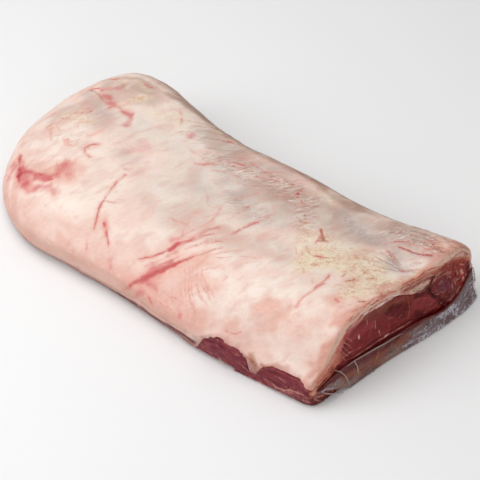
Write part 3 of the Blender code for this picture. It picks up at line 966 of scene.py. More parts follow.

# White fat. The first, tiny stroke is a painted highlight: a glint of the film on the rounded end.
MILK_AND_GLINT = strokes("""
1.6 1: -177 -78 49,-176 -77 50
7.8 0.5: -210 -31 48,-185 -34 56
10.8 0.5: -143 -95 48,-110 -80 57
6.9 0.4: 77 -24 72,88 -23 73
6.9 0.5: 142 -95 42,172 -93 39
3.9 0.6: 59 70 69,69 76 68
5.9 0.5: 194 21 72,205 18 75
4.9 0.5: 197 45 70,209 52 72
3.9 0.4: 148 58 68,155 61 69
6.9 0.4: 2 15 70,12 27 70
4.4 0.4: 59 -53 68,65 -55 68
9.8 0.35: -62 -83 55,-32 -74 59
8.8 0.3: -57 -28 69,-32 -27 69
6 0.6: -112 115 36,-90 111 34
6 0.6: 60 99 34,80 99 36
""")

# %% Marks on the fat: where the film has rubbed it and brown threads show
WORN = strokes("""
12.7 0.9: -32 43 70,-8 53 69,20 51 70
12.7 0.8: 20 51 70,54 52 70,79 58 69
9.8 0.6: 16 8 71,52 9 71
12.7 0.8: 50 60 70,76 46 70,90 22 71
9.8 0.9: 163 67 71,187 69 73,211 76 75
7.8 0.9: 203 74 74,222 79 73,227 91 59
7.8 0.6: 173 40 69,198 36 70,208 46 71
10.8 0.5: -87 56 70,-62 57 70
8.8 0.6: -214 -3 50,-204 10 55,-183 26 64
9.8 0.5: -189 -14 57,-151 -17 68
7.8 0.6: 187 -22 80,195 -2 78
5.9 0.5: 124 57 68,148 52 68,167 50 68
""")

# %% Marks on the fat: painted shade along the far edge, the beige rim, salmon tissue and the dark strip
# Painted shade: brown strokes along the far edge of the top, where it turns away from the light.
FAR_EDGE_SHADE = strokes("""
3.9 0.6: -192 81 68,-183 87 70,-162 90 72,-133 92 70
4.9 0.85: -134 93 70,-111 93 67,-84 92 62,-50 87 61,-28 84 63
3.4 0.75: -24 81 64,-1 80 65,16 80 66,40 88 62
5.4 0.8: 40 88 62,68 83 65,103 76 66,119 78 66
3.9 0.75: 119 78 66,146 81 68,170 78 72
2.5 0.25: 170 78 72,192 89 71,214 88 73
""")

RIM = strokes("""
3.9 0.8: -76 -114 18,-52 -113 16,-23 -113 21
2.9 0.6: -128 -116 14,-102 -115 16,-76 -114 18
2.5 0.85: -23 -113 21,2 -114 20,32 -115 21,57 -116 22
2.9 0.8: 57 -116 22,70 -116 17,79 -116 6,89 -116 6
2.5 0.5: 119 -113 18,134 -111 18
""")

SALMON = strokes("""
8.3 0.7: 209 75 75,222 79 73,228 94 57
3.4 0.7: 209 14 75,213 32 72,217 49 71,221 67 70,225 83 66
5.9 0.4: 184 62 72,200 65 73
4.4 0.5: 197 -72 53,196 -63 67,197 -53 75
3.9 0.5: 197 -43 79,199 -28 80,203 -13 79
""")

MAROON = strokes("""
2.2 1: -29 -113 10,-7 -114 12,12 -114 10
2.2 1: 12 -114 10,35 -115 12,58 -116 14,72 -116 12
1.5 0.6: -58 -113 10,-42 -112 10,-29 -113 10
""")

# %% Marks on the fat: brown threads in the yellow fat
UMBER_LINES = strokes("""
0.6 0.7: 104 -7 73,110 -12 73,115 -15 74
0.7 0.8: 119 -22 74,120 -18 74,124 -18 75
0.9 0.8: 129 -18 75,133 -19 75,133 -15 75
0.6 0.7: 134 -11 75,137 -7 75,141 -8 75
0.9 0.85: 112 2 73,118 -4 74
0.7 0.6: 125 -26 75,129 -31 75
0.6 0.5: 139 -29 76,143 -37 76
0.6 0.6: 146 -4 75,149 0 75,153 1 76
1.1 0.8: 162 1 76,163 6 76
0.7 0.7: 166 1 76,163 8 75
0.7 0.7: 160 -14 77,162 -8 77,165 -3 77
0.8 0.85: 166 -17 78,171 -12 78,174 -6 78,176 -2 77
0.8 0.8: 176 -4 78,176 2 77,178 7 76
0.7 0.7: 174 6 76,180 4 77
1.1 0.85: 183 0 77,187 3 77
0.7 0.7: 187 17 73,183 17 74,180 12 75
0.6 0.5: 143 16 73,144 21 73,149 19 73
0.6 0.5: 131 10 73,137 10 74
0.7 0.6: 156 15 74,159 20 73,164 19 73
0.9 0.8: 88 26 71,93 28 71,95 30 71
0.6 0.6: 84 33 71,83 38 70
0.6 0.6: 96 40 70,99 37 70
0.6 0.5: 76 38 70,80 37 70
0.6 0.5: 99 16 72,102 17 72
0.7 0.6: 162 -29 78,164 -24 78,169 -23 79
0.6 0.5: 160 -35 78,163 -31 78
0.6 0.5: 173 -18 79,178 -18 79
1 0.8: -158 64 70,-152 65 71,-148 70 72
0.9 0.85: -213 -10 49,-211 -6 51,-210 -3 52
0.9 0.7: -107 80 69,-102 77 70
1 0.6: -126 84 71,-124 83 70
0.6 0.6: -203 -4 54,-194 -9 56
0.6 0.5: -181 3 62,-175 -2 64
0.7 0.6: 191 -32 80,194 -26 81,199 -27 81
0.6 0.5: 190 -7 79,192 -1 78
0.6 0.5: 140 -19 76,145 -19 76
0.6 0.5: 151 -7 76,155 -6 76
0.6 0.5: 195 3 77,197 9 76
0.6 0.6: 144 -35 76,144 -30 76
0.6 0.5: 173 -37 79,179 -36 80
0.6 0.5: 125 6 73,126 11 73
0.6 0.4: 154 30 71,159 31 71
0.7 0.5: 118 -11 74,122 -13 74
0.6 0.5: 147 -14 76,148 -9 76
0.6 0.5: 154 5 75,152 12 74
0.6 0.45: 172 23 72,176 26 71
0.7 0.5: 184 -17 80,189 -16 80,190 -12 79
0.6 0.5: 185 -41 80,189 -41 80
0.6 0.7: -90 111 44,-82 109 46,-76 107 43
0.6 0.6: 34 98 44,42 98 46,50 98 43
0.6 0.6: 130 98 46,138 99 44,146 99 47
0.6 0.6: -70 106 38,-64 104 41
""")

# %% Marks on the fat: tissue and sinew beside the window in the near side
RUST = strokes("""
3.9 0.6: 130 -111 30,134 -111 21
1.3 1: 108 28 71,114 21 71,118 17 72
1.2 0.9: 115 13 72,118 17 72,122 19 72
2.5 0.6: 126 -112 25,132 -111 23
2 0.5: 142 -110 27,151 -109 26
3.9 0.85: 210 8 72,213 22 70,217 40 67,221 58 63,224 74 61,228 94 57
4.4 0.75: 195 -96 24,196 -84 36,197 -73 49
2 0.5: 197 -69 51,197 -61 63
""")

TONGUE = strokes("""
4.9 0.95: 132 -111 11,137 -110 6,143 -110 6
3.9 0.8: 133 -111 24,136 -111 11
2.9 0.7: 128 -112 18,132 -111 13
2.5 0.6: 143 -110 15,149 -109 16
1.5 0.6: 104 -115 30,115 -113 29,124 -112 24
1.5 0.5: 150 -108 28,165 -107 28,180 -106 28
""")

SINEW = strokes("""
3.4 0.75: 70 -116 20,78 -116 10,90 -116 6
2 0.6: 79 -116 26,90 -116 30
2.5 0.5: 192 -104 26,196 -97 17
""")

RUST_LINES = strokes("""
0.8 0.85: 74 -116 24,87 -116 29,98 -115 31,109 -114 30
0.7 0.9: 60 55 70,64 49 70,68 49 70,72 48 70
0.7 0.8: 59 50 70,62 56 70,63 63 70
0.7 0.8: 76 38 70,83 36 70,88 31 71
0.6 0.7: 78 28 71,87 25 71,92 27 71
0.7 0.8: 108 -1 73,115 -3 73,123 -7 74
0.6 0.75: 169 58 70,176 60 71,184 66 72,195 74 74,208 81 74,214 92 72
0.6 0.75: 190 64 73,194 71 74,205 75 75,209 72 74,202 64 73
0.5 0.7: 213 69 74,222 75 72
0.6 0.7: 216 92 72,225 89 70,227 96 62
0.5 0.75: 128 -17 75,132 -14 75,137 -7 75,146 -1 75,155 3 75,161 8 75
0.5 0.7: 161 -12 77,163 -7 77,164 3 76
0.5 0.75: 166 -15 78,173 -10 78,175 -1 77,183 0 77
0.6 0.8: 125 -6 74,130 -5 74,136 -1 75
0.5 0.6: 163 20 73,170 23 72,177 25 71
0.5 0.7: 189 -33 80,193 -28 80,201 -27 79
0.6 0.8: 200 -32 79,202 -25 79,204 -15 79,204 -1 78
0.5 0.6: 138 -16 76,146 -18 76,146 -11 76
0.5 0.6: 150 -11 76,153 -6 76,159 -4 76
0.5 0.6: 190 -8 79,194 -1 78,200 8 77
1 1: 179 55 70,187 57 71,193 56 71,200 58 72,210 61 73
0.7 0.8: 186 69 73,196 71 74,207 70 74,219 73 74
0.7 0.8: 206 83 74,216 84 74,226 88 67
0.6 0.8: 171 45 68,179 41 68,187 37 69
0.6 0.7: 199 33 70,206 40 71,210 47 71
0.6 0.7: 126 -112 28,132 -111 26,138 -110 24
0.6 0.6: 130 -111 19,136 -111 14
0.6 0.6: 142 -110 27,153 -109 28,165 -107 27
0.6 0.5: 182 -106 27,194 -103 24
0.7 0.8: 210 15 74,214 33 71,219 51 68,223 69 65
0.6 0.7: 194 -46 80,198 -30 80,202 -12 80,207 3 76
0.6 0.6: 195 -59 73,196 -49 78,199 -37 79
""")

# %% Marks on the cut face, each with its colour and with points across and up
CUT_STROKES = strokes("""
cream 5.4 0.95: -79 43,-69 51,-63 62,-54 68,-44 72,-34 75,-21 74,-9 73,4 73
salmon 3.9 0.7: -93 28,-83 34,-75 43
red 0.5 0.7: -80 44,-71 52,-64 61,-56 67
red 0.5 0.55: -74 42,-66 54,-59 62
red 0.6 0.6: -52 74,-43 77,-33 77
red 0.6 0.75: -46 70,-36 73,-24 73,-11 73
red 0.5 0.6: -38 78,-28 80,-16 79,-6 79
red 0.5 0.55: -59 68,-51 69,-41 72
salmon 8.3 0.9: -101 21,-91 27,-80 35,-71 42
cream 3.9 0.6: -101 18,-91 21
rust 2 0.7: -95 21,-86 27,-78 34
red 1 0.6: -91 28,-83 33,-75 40
red 0.8 0.6: -96 27,-88 32
salmon 1 0.6: -96 29,-85 40,-77 49
blood 2 0.7: -87 17,-76 23,-67 28
red 2.5 0.6: -70 49,-63 57,-58 63
orange 1.2 0.7: -90 17,-79 22,-69 25
dark 2 0.8: -71 32,-64 26,-57 23
rust 0.6 0.8: -94 23,-86 31,-78 39
dark 0.6 0.7: -88 18,-80 25,-73 32
cream 2.5 0.6: 12 78,30 75,48 73
rust 3.9 0.8: 12 69,24 66,40 64,56 61,72 57,85 52,99 44
cream 2.5 0.9: 48 73,58 71,69 69,80 67,90 62
beige 1.2 0.75: 19 65,35 62,50 60
red 0.7 0.8: 14 74,30 71,45 70,61 66
salmon 1.7 0.65: 14 72,35 68,56 64,70 63,85 61,96 55
dark 0.9 0.75: 14 67,29 64,45 59,58 58,77 56,93 49
rust 0.7 0.9: 9 73,27 69,48 64,64 62
pale 0.8 0.5: 24 66,40 64,53 60
orange 1 0.6: 61 61,77 61,90 54
dark 1 0.5: 40 58,53 57,66 55
tan 2.9 0.7: -34 66,-22 64,-9 61,4 60,14 59
cream 2.5 0.9: -38 77,-25 74,-15 73,-4 72,8 71
white 1.2 0.9: -36 73,-25 71,-15 71,-4 69,9 68
red 0.6 0.8: -36 80,-27 82,-17 81,-8 81,-4 81
red 0.6 0.7: -26 77,-15 77,-5 76,4 74
rose 8.3 0.85: -52 59,-44 59,-37 56,-30 56
rose 4.9 0.55: -61 43,-55 48
wine 10.8 0.6: -28 40,-3 31,21 25
brown 6.4 0.85: -25 63,-12 61,4 59,16 55
brown 2.9 0.5: -32 62,-22 53
dark 5.4 0.95: -2 55,8 49,17 45
dark 2.5 0.6: -9 54,3 43,13 35
dark 4.4 0.85: 29 28,35 21
rose 7.3 0.7: 29 40,42 33,52 24
rose 3.9 0.5: 44 21,58 14
orange 0.8 0.75: 20 59,19 49,21 37,19 28
brown 1.3 0.7: 24 55,25 41,23 30
rust 2.5 0.6: 14 64,29 63,45 61
kernel 3.9 0.9: 29 58,37 53,45 51
white 0.6 0.6: 32 58,37 56
brown 0.7 0.6: 27 57,40 49
pale 1 0.5: 31 60,38 56,48 53
dark 2.9 0.75: -13 25,2 25,18 23,34 19
dark 1.5 0.5: -48 33,-33 31,-21 28
pale 0.4 0.65: -63 52,-56 38
pale 0.4 0.65: -61 55,-53 42
pale 0.4 0.6: -58 58,-51 47
pale 0.4 0.6: -65 48,-58 35
pale 0.4 0.55: -65 42,-61 33
white 1.1 0.85: -44 52,-43 47
pale 0.7 0.8: -18 39,-17 31
white 1.5 0.95: -11 26,-7 26
pale 0.9 0.7: 10 16,12 17
pale 0.6 0.6: -23 54,-23 45
pale 0.6 0.6: -33 63,-33 57
orange 1.2 0.6: 1 35,4 34
pale 0.6 0.5: 7 37,11 38
pale 0.6 0.5: -7 45,-2 44
pale 0.5 0.5: 41 29,50 25
pale 0.5 0.4: 32 43,42 38
violet 6.4 0.9: 62 39,66 44,70 34
violet 3.4 0.9: 66 38,69 31
dark 0.7 0.8: 53 46,58 52,66 50,74 41,77 30,74 21,69 17
dark 0.6 0.6: 58 40,62 45,69 42,71 33,69 26
pale 0.6 0.6: 49 52,57 55,68 52,76 42
pale 0.8 0.65: 80 37,82 25,80 16,75 11
orange 0.7 0.6: 84 38,85 24,84 12
blood 6.4 0.95: 85 45,89 30,89 16,82 7
red 2.5 0.6: 88 41,92 25,91 12,82 7
rust 3.4 0.8: 72 57,85 53,99 41
cream 4.4 0.9: 58 72,70 69,82 66,93 62,103 50
salmon 2.5 0.5: 72 64,85 61,99 50
orange 1.2 0.6: 77 65,88 60,99 51
red 0.7 0.7: 66 65,77 63,88 57,97 48
red 0.6 0.6: 61 64,72 62,80 59
beige 1.5 0.7: 57 58,62 58,68 57
beige 1.5 0.7: 70 51,77 48
red 1 0.7: 74 55,77 45
beige 1.3 0.8: 81 50,84 41
beige 1.2 0.7: 76 33,78 21,74 13
dark 2 0.85: 86 35,88 26
dark 2.2 0.9: 97 45,100 35
dark 1.5 0.8: 81 48,82 39
dark 1.5 0.7: 93 9,88 3
dark 1.5 0.7: 74 9,82 7
pale 1.6 0.9: 89 42,92 36
pale 1.5 0.85: 92 31,93 26
pale 1.2 0.8: 85 20,84 16
pale 1.3 0.8: 93 16,95 12
pale 1 0.7: 77 16,75 12
pale 1 0.7: 96 32,97 23
orange 1.1 0.7: 100 27,99 12,95 3
orange 1 0.6: 82 57,90 52
pale 0.9 0.6: 86 52,93 46
black 2.7 1: 44 48,51 37,61 23,70 8
dark 2.2 0.95: 28 50,37 47,47 44
dark 1.5 0.8: 46 46,48 54,53 58
rust 1 0.7: 55 18,67 6,77 4
dark 3.2 0.95: -68 25,-57 21,-44 18,-26 17,-9 15,10 14,28 15,42 16,60 11,74 8,88 7
pale 0.7 0.7: -62 32,-50 29,-35 27,-20 26,-6 25,10 23,23 21
rose 0.7 0.8: -53 35,-36 34,-18 33,2 30
pale 0.5 0.6: -63 38,-53 37,-43 36
brown 2.5 0.7: -60 15,-37 11,-11 9,12 7,39 6
""")

# %% Folds in the fat and film
CREASES = strokes("""
1.1 0.9: 167 31 70,175 32 70,184 32 70,193 33 70,200 32 70
0.9 0.7: 167 41 69,177 39 69,185 37 69,195 34 70
0.9 0.7: 183 23 72,192 27 71,200 32 70
0.8 0.6: 169 48 68,176 45 68,185 41 69,196 35 70
0.8 0.5: 201 33 70,206 38 71,210 44 71
0.9 0.8: -90 73 69,-76 82 66,-59 89 61,-43 92 56
0.9 0.8: -82 70 69,-72 78 67,-66 85 64,-54 92 57,-33 88 59
0.9 0.8: -72 70 69,-60 79 66,-44 83 64,-26 81 64
0.9 0.8: -65 61 70,-47 73 67,-26 81 64
0.8 0.6: -52 52 70,-36 60 69,-24 70 67
0.8 0.7: 163 77 71,174 84 70,183 89 69,201 92 70
0.8 0.7: 168 73 71,180 80 73,193 82 73,207 82 74
0.8 0.7: 173 71 72,184 75 73,196 77 74,206 78 74
0.8 0.6: 176 69 72,187 70 73,196 71 74,204 69 74
1 0.9: 179 55 70,187 57 71,193 56 71,200 58 72,210 61 73
0.8 0.7: 186 69 73,196 71 74,207 70 74,219 73 74
0.9 0.7: 217 93 71,225 93 69,229 104 55
0.8 0.6: 183 89 69,208 89 72,223 88 72
1.2 0.9: -209 55 60,-203 56 62,-193 53 63,-183 48 64
0.8 0.5: -222 -44 40,-207 -56 43,-189 -77 44
0.8 0.4: -89 -26 68,-91 -44 66,-88 -61 63,-83 -77 57,-77 -89 52
0.9 0.6: -23 -113 22,0 -102 43,17 -80 57,37 -59 66,46 -45 69
0.8 0.5: -17 -92 50,2 -75 59,16 -56 66,29 -38 70
0.8 0.4: 43 -27 71,49 -11 71,55 -1 71
""")

# %% Shape the fat cap
FAT_NET, SEAM_REACH = 0.0017, 0.008
NEAR_CUT, AT_CUT = -0.0025, -0.0014  # where the net is made finer, and finer again
OFF_FLOOR, WINDOW_SIDE = 0.002, -0.086  # from this z up, and beyond this y

fat = fine_copy("fat_cap", "fat_cap_skin", FAT_NET)
points = points_of(fat)
seam = distance_to(points, LEAN_NODES, SEAM_REACH)
edge_room = ease(np.abs(past_cut(points)), 0.001, 0.007)
relax(fat, 26, ease(seam, 0.001, 0.006) * (0.15 + 0.85 * edge_room))
merge_hidden(fat, hidden_side(points_of(fat), normals_of(fat), seam, LEAN_NODES), 0.12)
finer(fat, lambda at: (past_cut(at) > NEAR_CUT) & (at[:, 2] > OFF_FLOOR))
finer(fat, lambda at: past_cut(at) > AT_CUT)
finer(fat, lambda at: (at[:, 1] < WINDOW_SIDE) & (distance_to(at, LEAN_NODES, 0.004) < 0.003))

# %% Relief of the fat cap
seam = distance_to(points_of(fat), LEAN_NODES, SEAM_REACH)
sharpen(fat, "fat_cap", seam, LEAN_NODES)
points, normals = points_of(fat), normals_of(fat)
open_fat = ease(seam, 0.0006, 0.004) * ease(points[:, 2], 0.001, 0.006)
drift = wander(wander(points, 0.0022, 0.016, 41), 0.0007, 0.005, 44)
blot = wander(wander(points, 0.0060, 0.028, 51), 0.0028, 0.009, 54)
torn = wander(wander(points, 0.0040, 0.012, 47), 0.0022, 0.0045, 49)


def on_fat(spots, marks, widen=1.0):
    """How strongly strokes cover the fat. spots are its points, moved to let the strokes' edges wander."""
    return soft_marks(spots, marks, "fat_cap", widen)


tallow = on_fat(blot, TALLOW)
store(fat, tallow=tallow, worn=on_fat(blot, WORN))
for name, marks in (("rose", ROSE_LINES), ("umber", UMBER_LINES), ("rust", RUST_LINES)):
    store_lines(fat, name, drift, normals, marks, "fat_cap")
# The crease strokes cut grooves here, and the material also darkens them with painted shade.
off_crease, creased = store_lines(fat, "crease", points, normals, CREASES, "fat_cap")
rise = 0.0010 * lumps(points, 0.045, 11) + 0.0006 * lumps(points, 0.020, 12)
rise += 0.00026 * lumps(points, 0.008, 13) + (0.00012 + 0.00026 * tallow) * lumps(points, 0.0042, 14)
rise -= 0.0015 * creased * (1 - ease(off_crease, 0.0, 1.6))
rise += 0.0007 * creased * ease(off_crease, 0.8, 1.4) * (1 - ease(off_crease, 1.4, 2.6))
set_points(fat, points + normals * (rise * open_fat)[:, None])
fat.data.shade_smooth()

# %% Paint the fat cap: cream, flush and grey
ACROSS_LOIN = (0.45, 0.89, 0.0)

paint = Paint(len(points), (242, 221, 208))
broad, middle = lumps(points, 0.055, 61), lumps(blot, 0.017, 62)
streak = lumps(drawn_out(blot, ACROSS_LOIN, 5), 0.0065, 63)
small = lumps(drawn_out(drift, ACROSS_LOIN, 2.5), 0.0052, 64)
paint.wash((247, 229, 217), 0.6 * ease(broad, 0.0, 0.6))
paint.wash((236, 200, 186), 0.5 * ease(-broad, 0.0, 0.6))
# Among these washes, the grey-brown and the grey ones are partly membrane and partly painted shade where the
# top turns away from the light, and the white one holds one painted glint.
for colour, strength, marks in (
        ((182, 153, 139), 0.95, TAUPE_MEMBRANE_AND_SHADE), ((222, 209, 199), 0.8, BONE), ((226, 174, 160), 1, FLESH),
        ((232, 176, 160), 0.9, BLUSH), ((239, 220, 191), 1, TALLOW), ((228, 166, 134), 0.9, SALMON),
        ((193, 180, 174), 0.9, GREY_HAZE_AND_SHADE), ((250, 239, 229), 1, MILK_AND_GLINT)):
    paint.wash(colour, strength * on_fat(blot, marks))
paint.wash((222, 178, 166), 0.28 * ease(middle, 0.10, 0.6))
paint.wash((246, 232, 222), 0.26 * ease(-middle, 0.10, 0.6))
paint.wash((220, 166, 152), 0.24 * ease(streak, 0.15, 0.7))
paint.wash((248, 236, 226), 0.20 * ease(-streak, 0.2, 0.8))
paint.wash((208, 162, 148), 0.22 * ease(small, 0.2, 0.7))

# %% Paint the fat cap: the near wall, the rounded end and the far wall
x, y, z = points.T
facing_far = normals[:, 1]
# The near wall is pinker, and it is also darkened with painted shade, because it faces away from the light
# above.
near_wall_flush_and_shade = ease(-facing_far, 0.35, 0.95) * ease(-y, 0.06, 0.10)
far_wall = ease(facing_far, 0.15, 0.60) * ease(y, 0.03, 0.06)
# Painted shade: the steeply sloping sides of the rounded end and of the near side are darkened where they
# turn away from the light.
steep_shade = (1 - ease(normals[:, 2], 0.10, 0.80)) * (1 - ease(x, -0.02, 0.07)) * (1 - far_wall)
# Painted shade: low marks the bottom centimetre, which is darkened as if in shade near the floor.
low = 1 - ease(z + 0.002 * middle, 0.006, 0.016)
lengthwise = lumps(drawn_out(blot, (1.0, 0.0, 0.15), 4), 0.0075, 66)
# Painted shade: a brown band where the far wall turns away from the light, just under the far edge.
far_rim_shade = ease(facing_far + 0.1 * streak, 0.40, 0.66) * (1 - ease(facing_far + 0.2 * middle, 0.72, 0.98))
far_rim_shade *= ease(y, 0.03, 0.06) * ease(z, 0.02, 0.04) * (1 - ease(x, 0.17, 0.20))
paint.wash((214, 152, 138), 0.34 * near_wall_flush_and_shade)
paint.wash((200, 152, 136), 0.5 * steep_shade * (0.9 + 0.3 * middle))
paint.wash((206, 172, 152), 0.75 * far_wall * (0.8 + 0.5 * streak))
paint.wash((232, 208, 190), 0.6 * far_wall * ease(lengthwise, 0.05, 0.5))
paint.wash((176, 120, 102), 0.6 * far_wall * ease(-lengthwise, 0.10, 0.6))
paint.wash((146, 108, 84), 0.6 * far_rim_shade)
# Painted shade along the far edge of the top.
paint.wash((156, 120, 100), 0.6 * on_fat(blot, FAR_EDGE_SHADE))
paint.wash((184, 148, 128), 0.7 * on_fat(blot, RIM))
# Painted shade near the floor, along the near side and the middle.
paint.wash((110, 52, 48), 0.75 * low * ease(-y, -0.02, 0.04))
paint.wash((88, 28, 30), on_fat(drift, MAROON, 1.3))

# %% Paint the fat cap: blood, and the tissue beside the window
BROAD_STREAK, SCORE = 0.85, 1.9  # half widths in mm from which a streak is also painted, and scored deeper

broad_streaks = [mark for mark in ROSE_LINES if mark[0] > BROAD_STREAK]
scores = [mark for mark in ROSE_LINES if mark[0] > SCORE]
paint.wash((228, 158, 144), 0.5 * on_fat(drift, ROSE_LINES, 2.6) * (0.9 + 0.6 * small))
paint.wash((206, 84, 86), 0.9 * on_fat(drift, broad_streaks) * (0.85 + 0.5 * small))
paint.wash((192, 58, 70), 0.75 * on_fat(drift, scores, 0.8))
paint.wash((216, 132, 126), 0.7 * on_fat(torn, ROSE_PATCHES, 1.5) * (0.8 + 0.6 * small))
paint.wash((200, 88, 90), 0.8 * on_fat(torn, ROSE_PATCHES, 0.9) * (0.8 + 0.6 * streak))
paint.wash((172, 34, 48), 0.9 * on_fat(torn, BLOOD) * (0.85 + 0.5 * small))
paint.wash((214, 168, 130), 0.45 * on_fat(drift, UMBER_LINES, 2.2))
near_lean = 1 - ease(seam + 0.0016 * small + 0.0020 * streak, 0.0002, 0.0045)
paint.wash((196, 134, 122), 0.75 * near_lean * ease(np.abs(y), 0.080, 0.092))
paint.wash((150, 88, 84), 0.7 * on_fat(drift, TONGUE))
paint.wash((160, 92, 62), 0.8 * on_fat(drift, RUST))
paint.wash((186, 158, 146), on_fat(drift, SINEW))

# %% Paint the cut face
# On the cut, brown and red tissue lies in layers between the fat and the muscles. The same strokes are laid
# on every piece that shows there, so that a layer runs on over a seam.
CUT_COLOURS = {
    "salmon": (204, 124, 102), "rust": (150, 52, 32), "beige": (206, 156, 132), "cream": (232, 190, 170),
    "tan": (160, 116, 94), "orange": (172, 94, 52), "red": (186, 60, 44), "blood": (152, 34, 26),
    "dark": (80, 0, 2), "black": (74, 0, 0), "wine": (124, 30, 32), "rose": (156, 56, 60),
    "brown": (124, 54, 38), "kernel": (184, 150, 126), "violet": (112, 52, 64), "pale": (218, 178, 158),
    "white": (240, 222, 212),
}


def paint_cut(paint, points):
    """Lays the cut's strokes on what lies near its plane, seen along the loin."""
    on_cut = ease(past_cut(points), -0.0036, -0.0012)
    here = np.flatnonzero(on_cut > 0)
    spots = wander(wander(points[here], 0.0010, 0.009, 101), 0.0004, 0.0026, 104)
    along = 0.75 + 0.7 * lumps(drawn_out(spots, (0.1, 0.86, 0.50), 5), 0.0022, 107)
    spots[:, 0] = 0
    for name, half, strength, stroke in CUT_STROKES:
        line = np.insert(smooth_route(stroke), 0, 0.0, axis=1)
        away = along_line(spots, line)[0] / (half / 1000)
        amount = np.zeros(len(points))
        amount[here] = strength * (1 - ease(away, 0.5, 1.4)) * np.clip(along, 0.4, 1) * on_cut[here]
        paint.wash(CUT_COLOURS[name], amount)


band = np.stack([np.minimum(seam, 0.02) * 5, y * 0.6, z * 0.6], axis=1)
layers = lumps(band, 0.0062, 71)
cut_band = ease(past_cut(points), -0.0035, -0.0008)
torn_edge = ease(past_cut(points) + 0.006 * streak + 0.004 * small, -0.012, -0.001) * ease(z, 0.01, 0.03)
paint.wash((226, 178, 158), 0.8 * cut_band)
paint.wash((190, 108, 88), 0.6 * cut_band * ease(layers, 0.0, 0.5))
paint.wash((214, 140, 122), 0.55 * torn_edge * (1 - cut_band))
paint_cut(paint, points)
paint.keep(fat)


# %% Finish of the fat cap
def fat_finish():
    """What is finer than the net: fibres, threads, grains, the thin strokes, and the film's wrinkles."""
    r = Recipe("fat under film")
    middle, fine = r.noise(0.013, 3, 0.6), r.noise(0.0036, 3, 0.65)
    # fibres across the loin, and the threads where the film has rubbed
    across = r.noise(0.0030, 3, 0.6, 0.3, r.stretched(4, (0, 0, 63)))
    r.over((212, 160, 146), r.step(across, 0.52, 0.78, 0.0, 0.26))
    r.over((252, 241, 231), r.step(across, 0.22, 0.46, 0.26, 0.0))
    r.over((206, 166, 150), r.step(fine, 0.56, 0.78, 0.0, 0.22))
    threads = r.noise(0.0026, 4, 0.7, 1.0, r.stretched(4, (0, 0, 48)))
    worn = r.stored("worn")
    r.over((166, 104, 88), r.times(worn, r.step(threads, 0.51, 0.64, 0.0, 0.7)))
    r.over((248, 236, 224), r.times(worn, r.step(threads, 0.34, 0.48, 0.65, 0.0)))
    # the yellow fat: soft brown threads, and grains with darker edges
    tallow = r.stored("tallow")
    lobes = r.noise(0.013, 2, 0.5, 1.2, r.stretched(1.6, (0, 0, 48)))
    outlines = r.step(r.math("ABSOLUTE", r.math("SUBTRACT", lobes, 0.5)), 0.006, 0.034, 0.56, 0.0)
    outlines = r.times(outlines, r.step(fine, 0.38, 0.60, 0.05, 1.0))
    r.over((206, 140, 106), r.times(r.step(tallow, 0.15, 0.7), outlines))
    edges = r.times(r.step(r.grains(0.0056, 0.006), 0.0, 0.20, 1.0, 0.0), r.step(tallow, 0.3, 0.8))
    edges = r.times(edges, r.step(middle, 0.46, 0.60, 0.05, 0.36))
    r.over((206, 146, 112), edges)
    r.over((250, 238, 214), r.times(tallow, r.step(fine, 0.3, 0.46, 0.5, 0.0)))
    # the thin strokes, broken here and there. The crease lines are painted shade in the folds
    wobble, broken = r.wobble(0.0032, 1.6), r.step(fine, 0.38, 0.64, 0.15, 0.95)
    for name, seen, strength in (("rose", (202, 98, 94), broken), ("umber", (196, 124, 90), broken),
                                 ("rust", (150, 52, 40), broken), ("crease", (158, 112, 90), 0.45)):
        r.over(seen, r.times(r.line(name, wobble), strength))
    film = r.noise(0.0012, 2, 0.6, 0.3, r.stretched(3, (0, 0, 24)))
    r.bump(fine, 0.0004)
    r.bump(across, 0.0003)
    r.bump(edges, 0.0003, 0.6)
    r.bump(threads, 0.00022, 0.6)
    r.bump(film, 0.00015, 0.5)
    return r.finish(r.step(middle, 0.3, 0.7, 0.36, 0.52), Subsurface_Weight=0.10, Subsurface_Scale=0.005,
                    Specular_IOR_Level=0.22, Coat_Weight=0.10, Coat_Roughness=0.18)


fat.data.materials.append(fat_finish())
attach(fat, "root")
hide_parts("fat_cap")
print("fat cap:", len(fat.data.polygons), "faces")

# %% [markdown]
# ## The lean
#
# The eye of the loin is one thick muscle, cut across its fibres at the end. Beside it lies a small round
# muscle across a thin dark seam, and under the near edge hangs a flap of flank. The cut face is wine red,
# darker towards the bottom where juice gathers behind the film, with fine pale flecks of marbling.
#
# These pieces get the same treatment as the fat: an even net, held seams, low relief, washes of colour, and
# strokes for the seams and the membranes. The net is split once more on the cut face and in the window, where
# a fibre bundle is only a millimetre or two wide.

# %% Marks on the lean: broad
LEAN_DARK = strokes("""
2.9 0.7: 103 -115 6,120 -112 2
3.9 0.6: 183 -106 19,193 -105 21
2.9 0.7: 187 -106 12,197 -97 7,200 -88 1
4.9 0.9: 200 -86 0,203 -72 0
2.5 0.6: 89 -116 22,100 -115 21
2.5 0.6: 115 -113 19,126 -112 13
2 0.6: 149 -109 12,166 -108 13
""")

LEAN_ROSE = strokes("""
6.4 0.8: 93 -116 26,107 -115 19,119 -113 15
4.9 0.75: 146 -109 20,164 -108 20,181 -106 21
""")

LEAN_TISSUE = strokes("""
4.4 1: 152 -110 5,168 -109 8,184 -107 12
2.5 0.9: 81 -116 18,89 -116 7,101 -115 6
2 0.8: 183 -106 15,196 -100 10
4.4 0.8: 137 -111 4,148 -111 4,159 -110 4
2.5 0.7: 109 -114 6,121 -112 2,133 -112 3
2.9 0.6: 190 -106 13,196 -102 10
3.4 0.7: 82 -116 11,104 -114 6,126 -112 3
2.9 0.7: 75 -116 18,84 -116 8,93 -115 5
2.5 0.6: 132 -111 17,138 -110 10
2 0.7: 187 -107 8,195 -104 9
""")

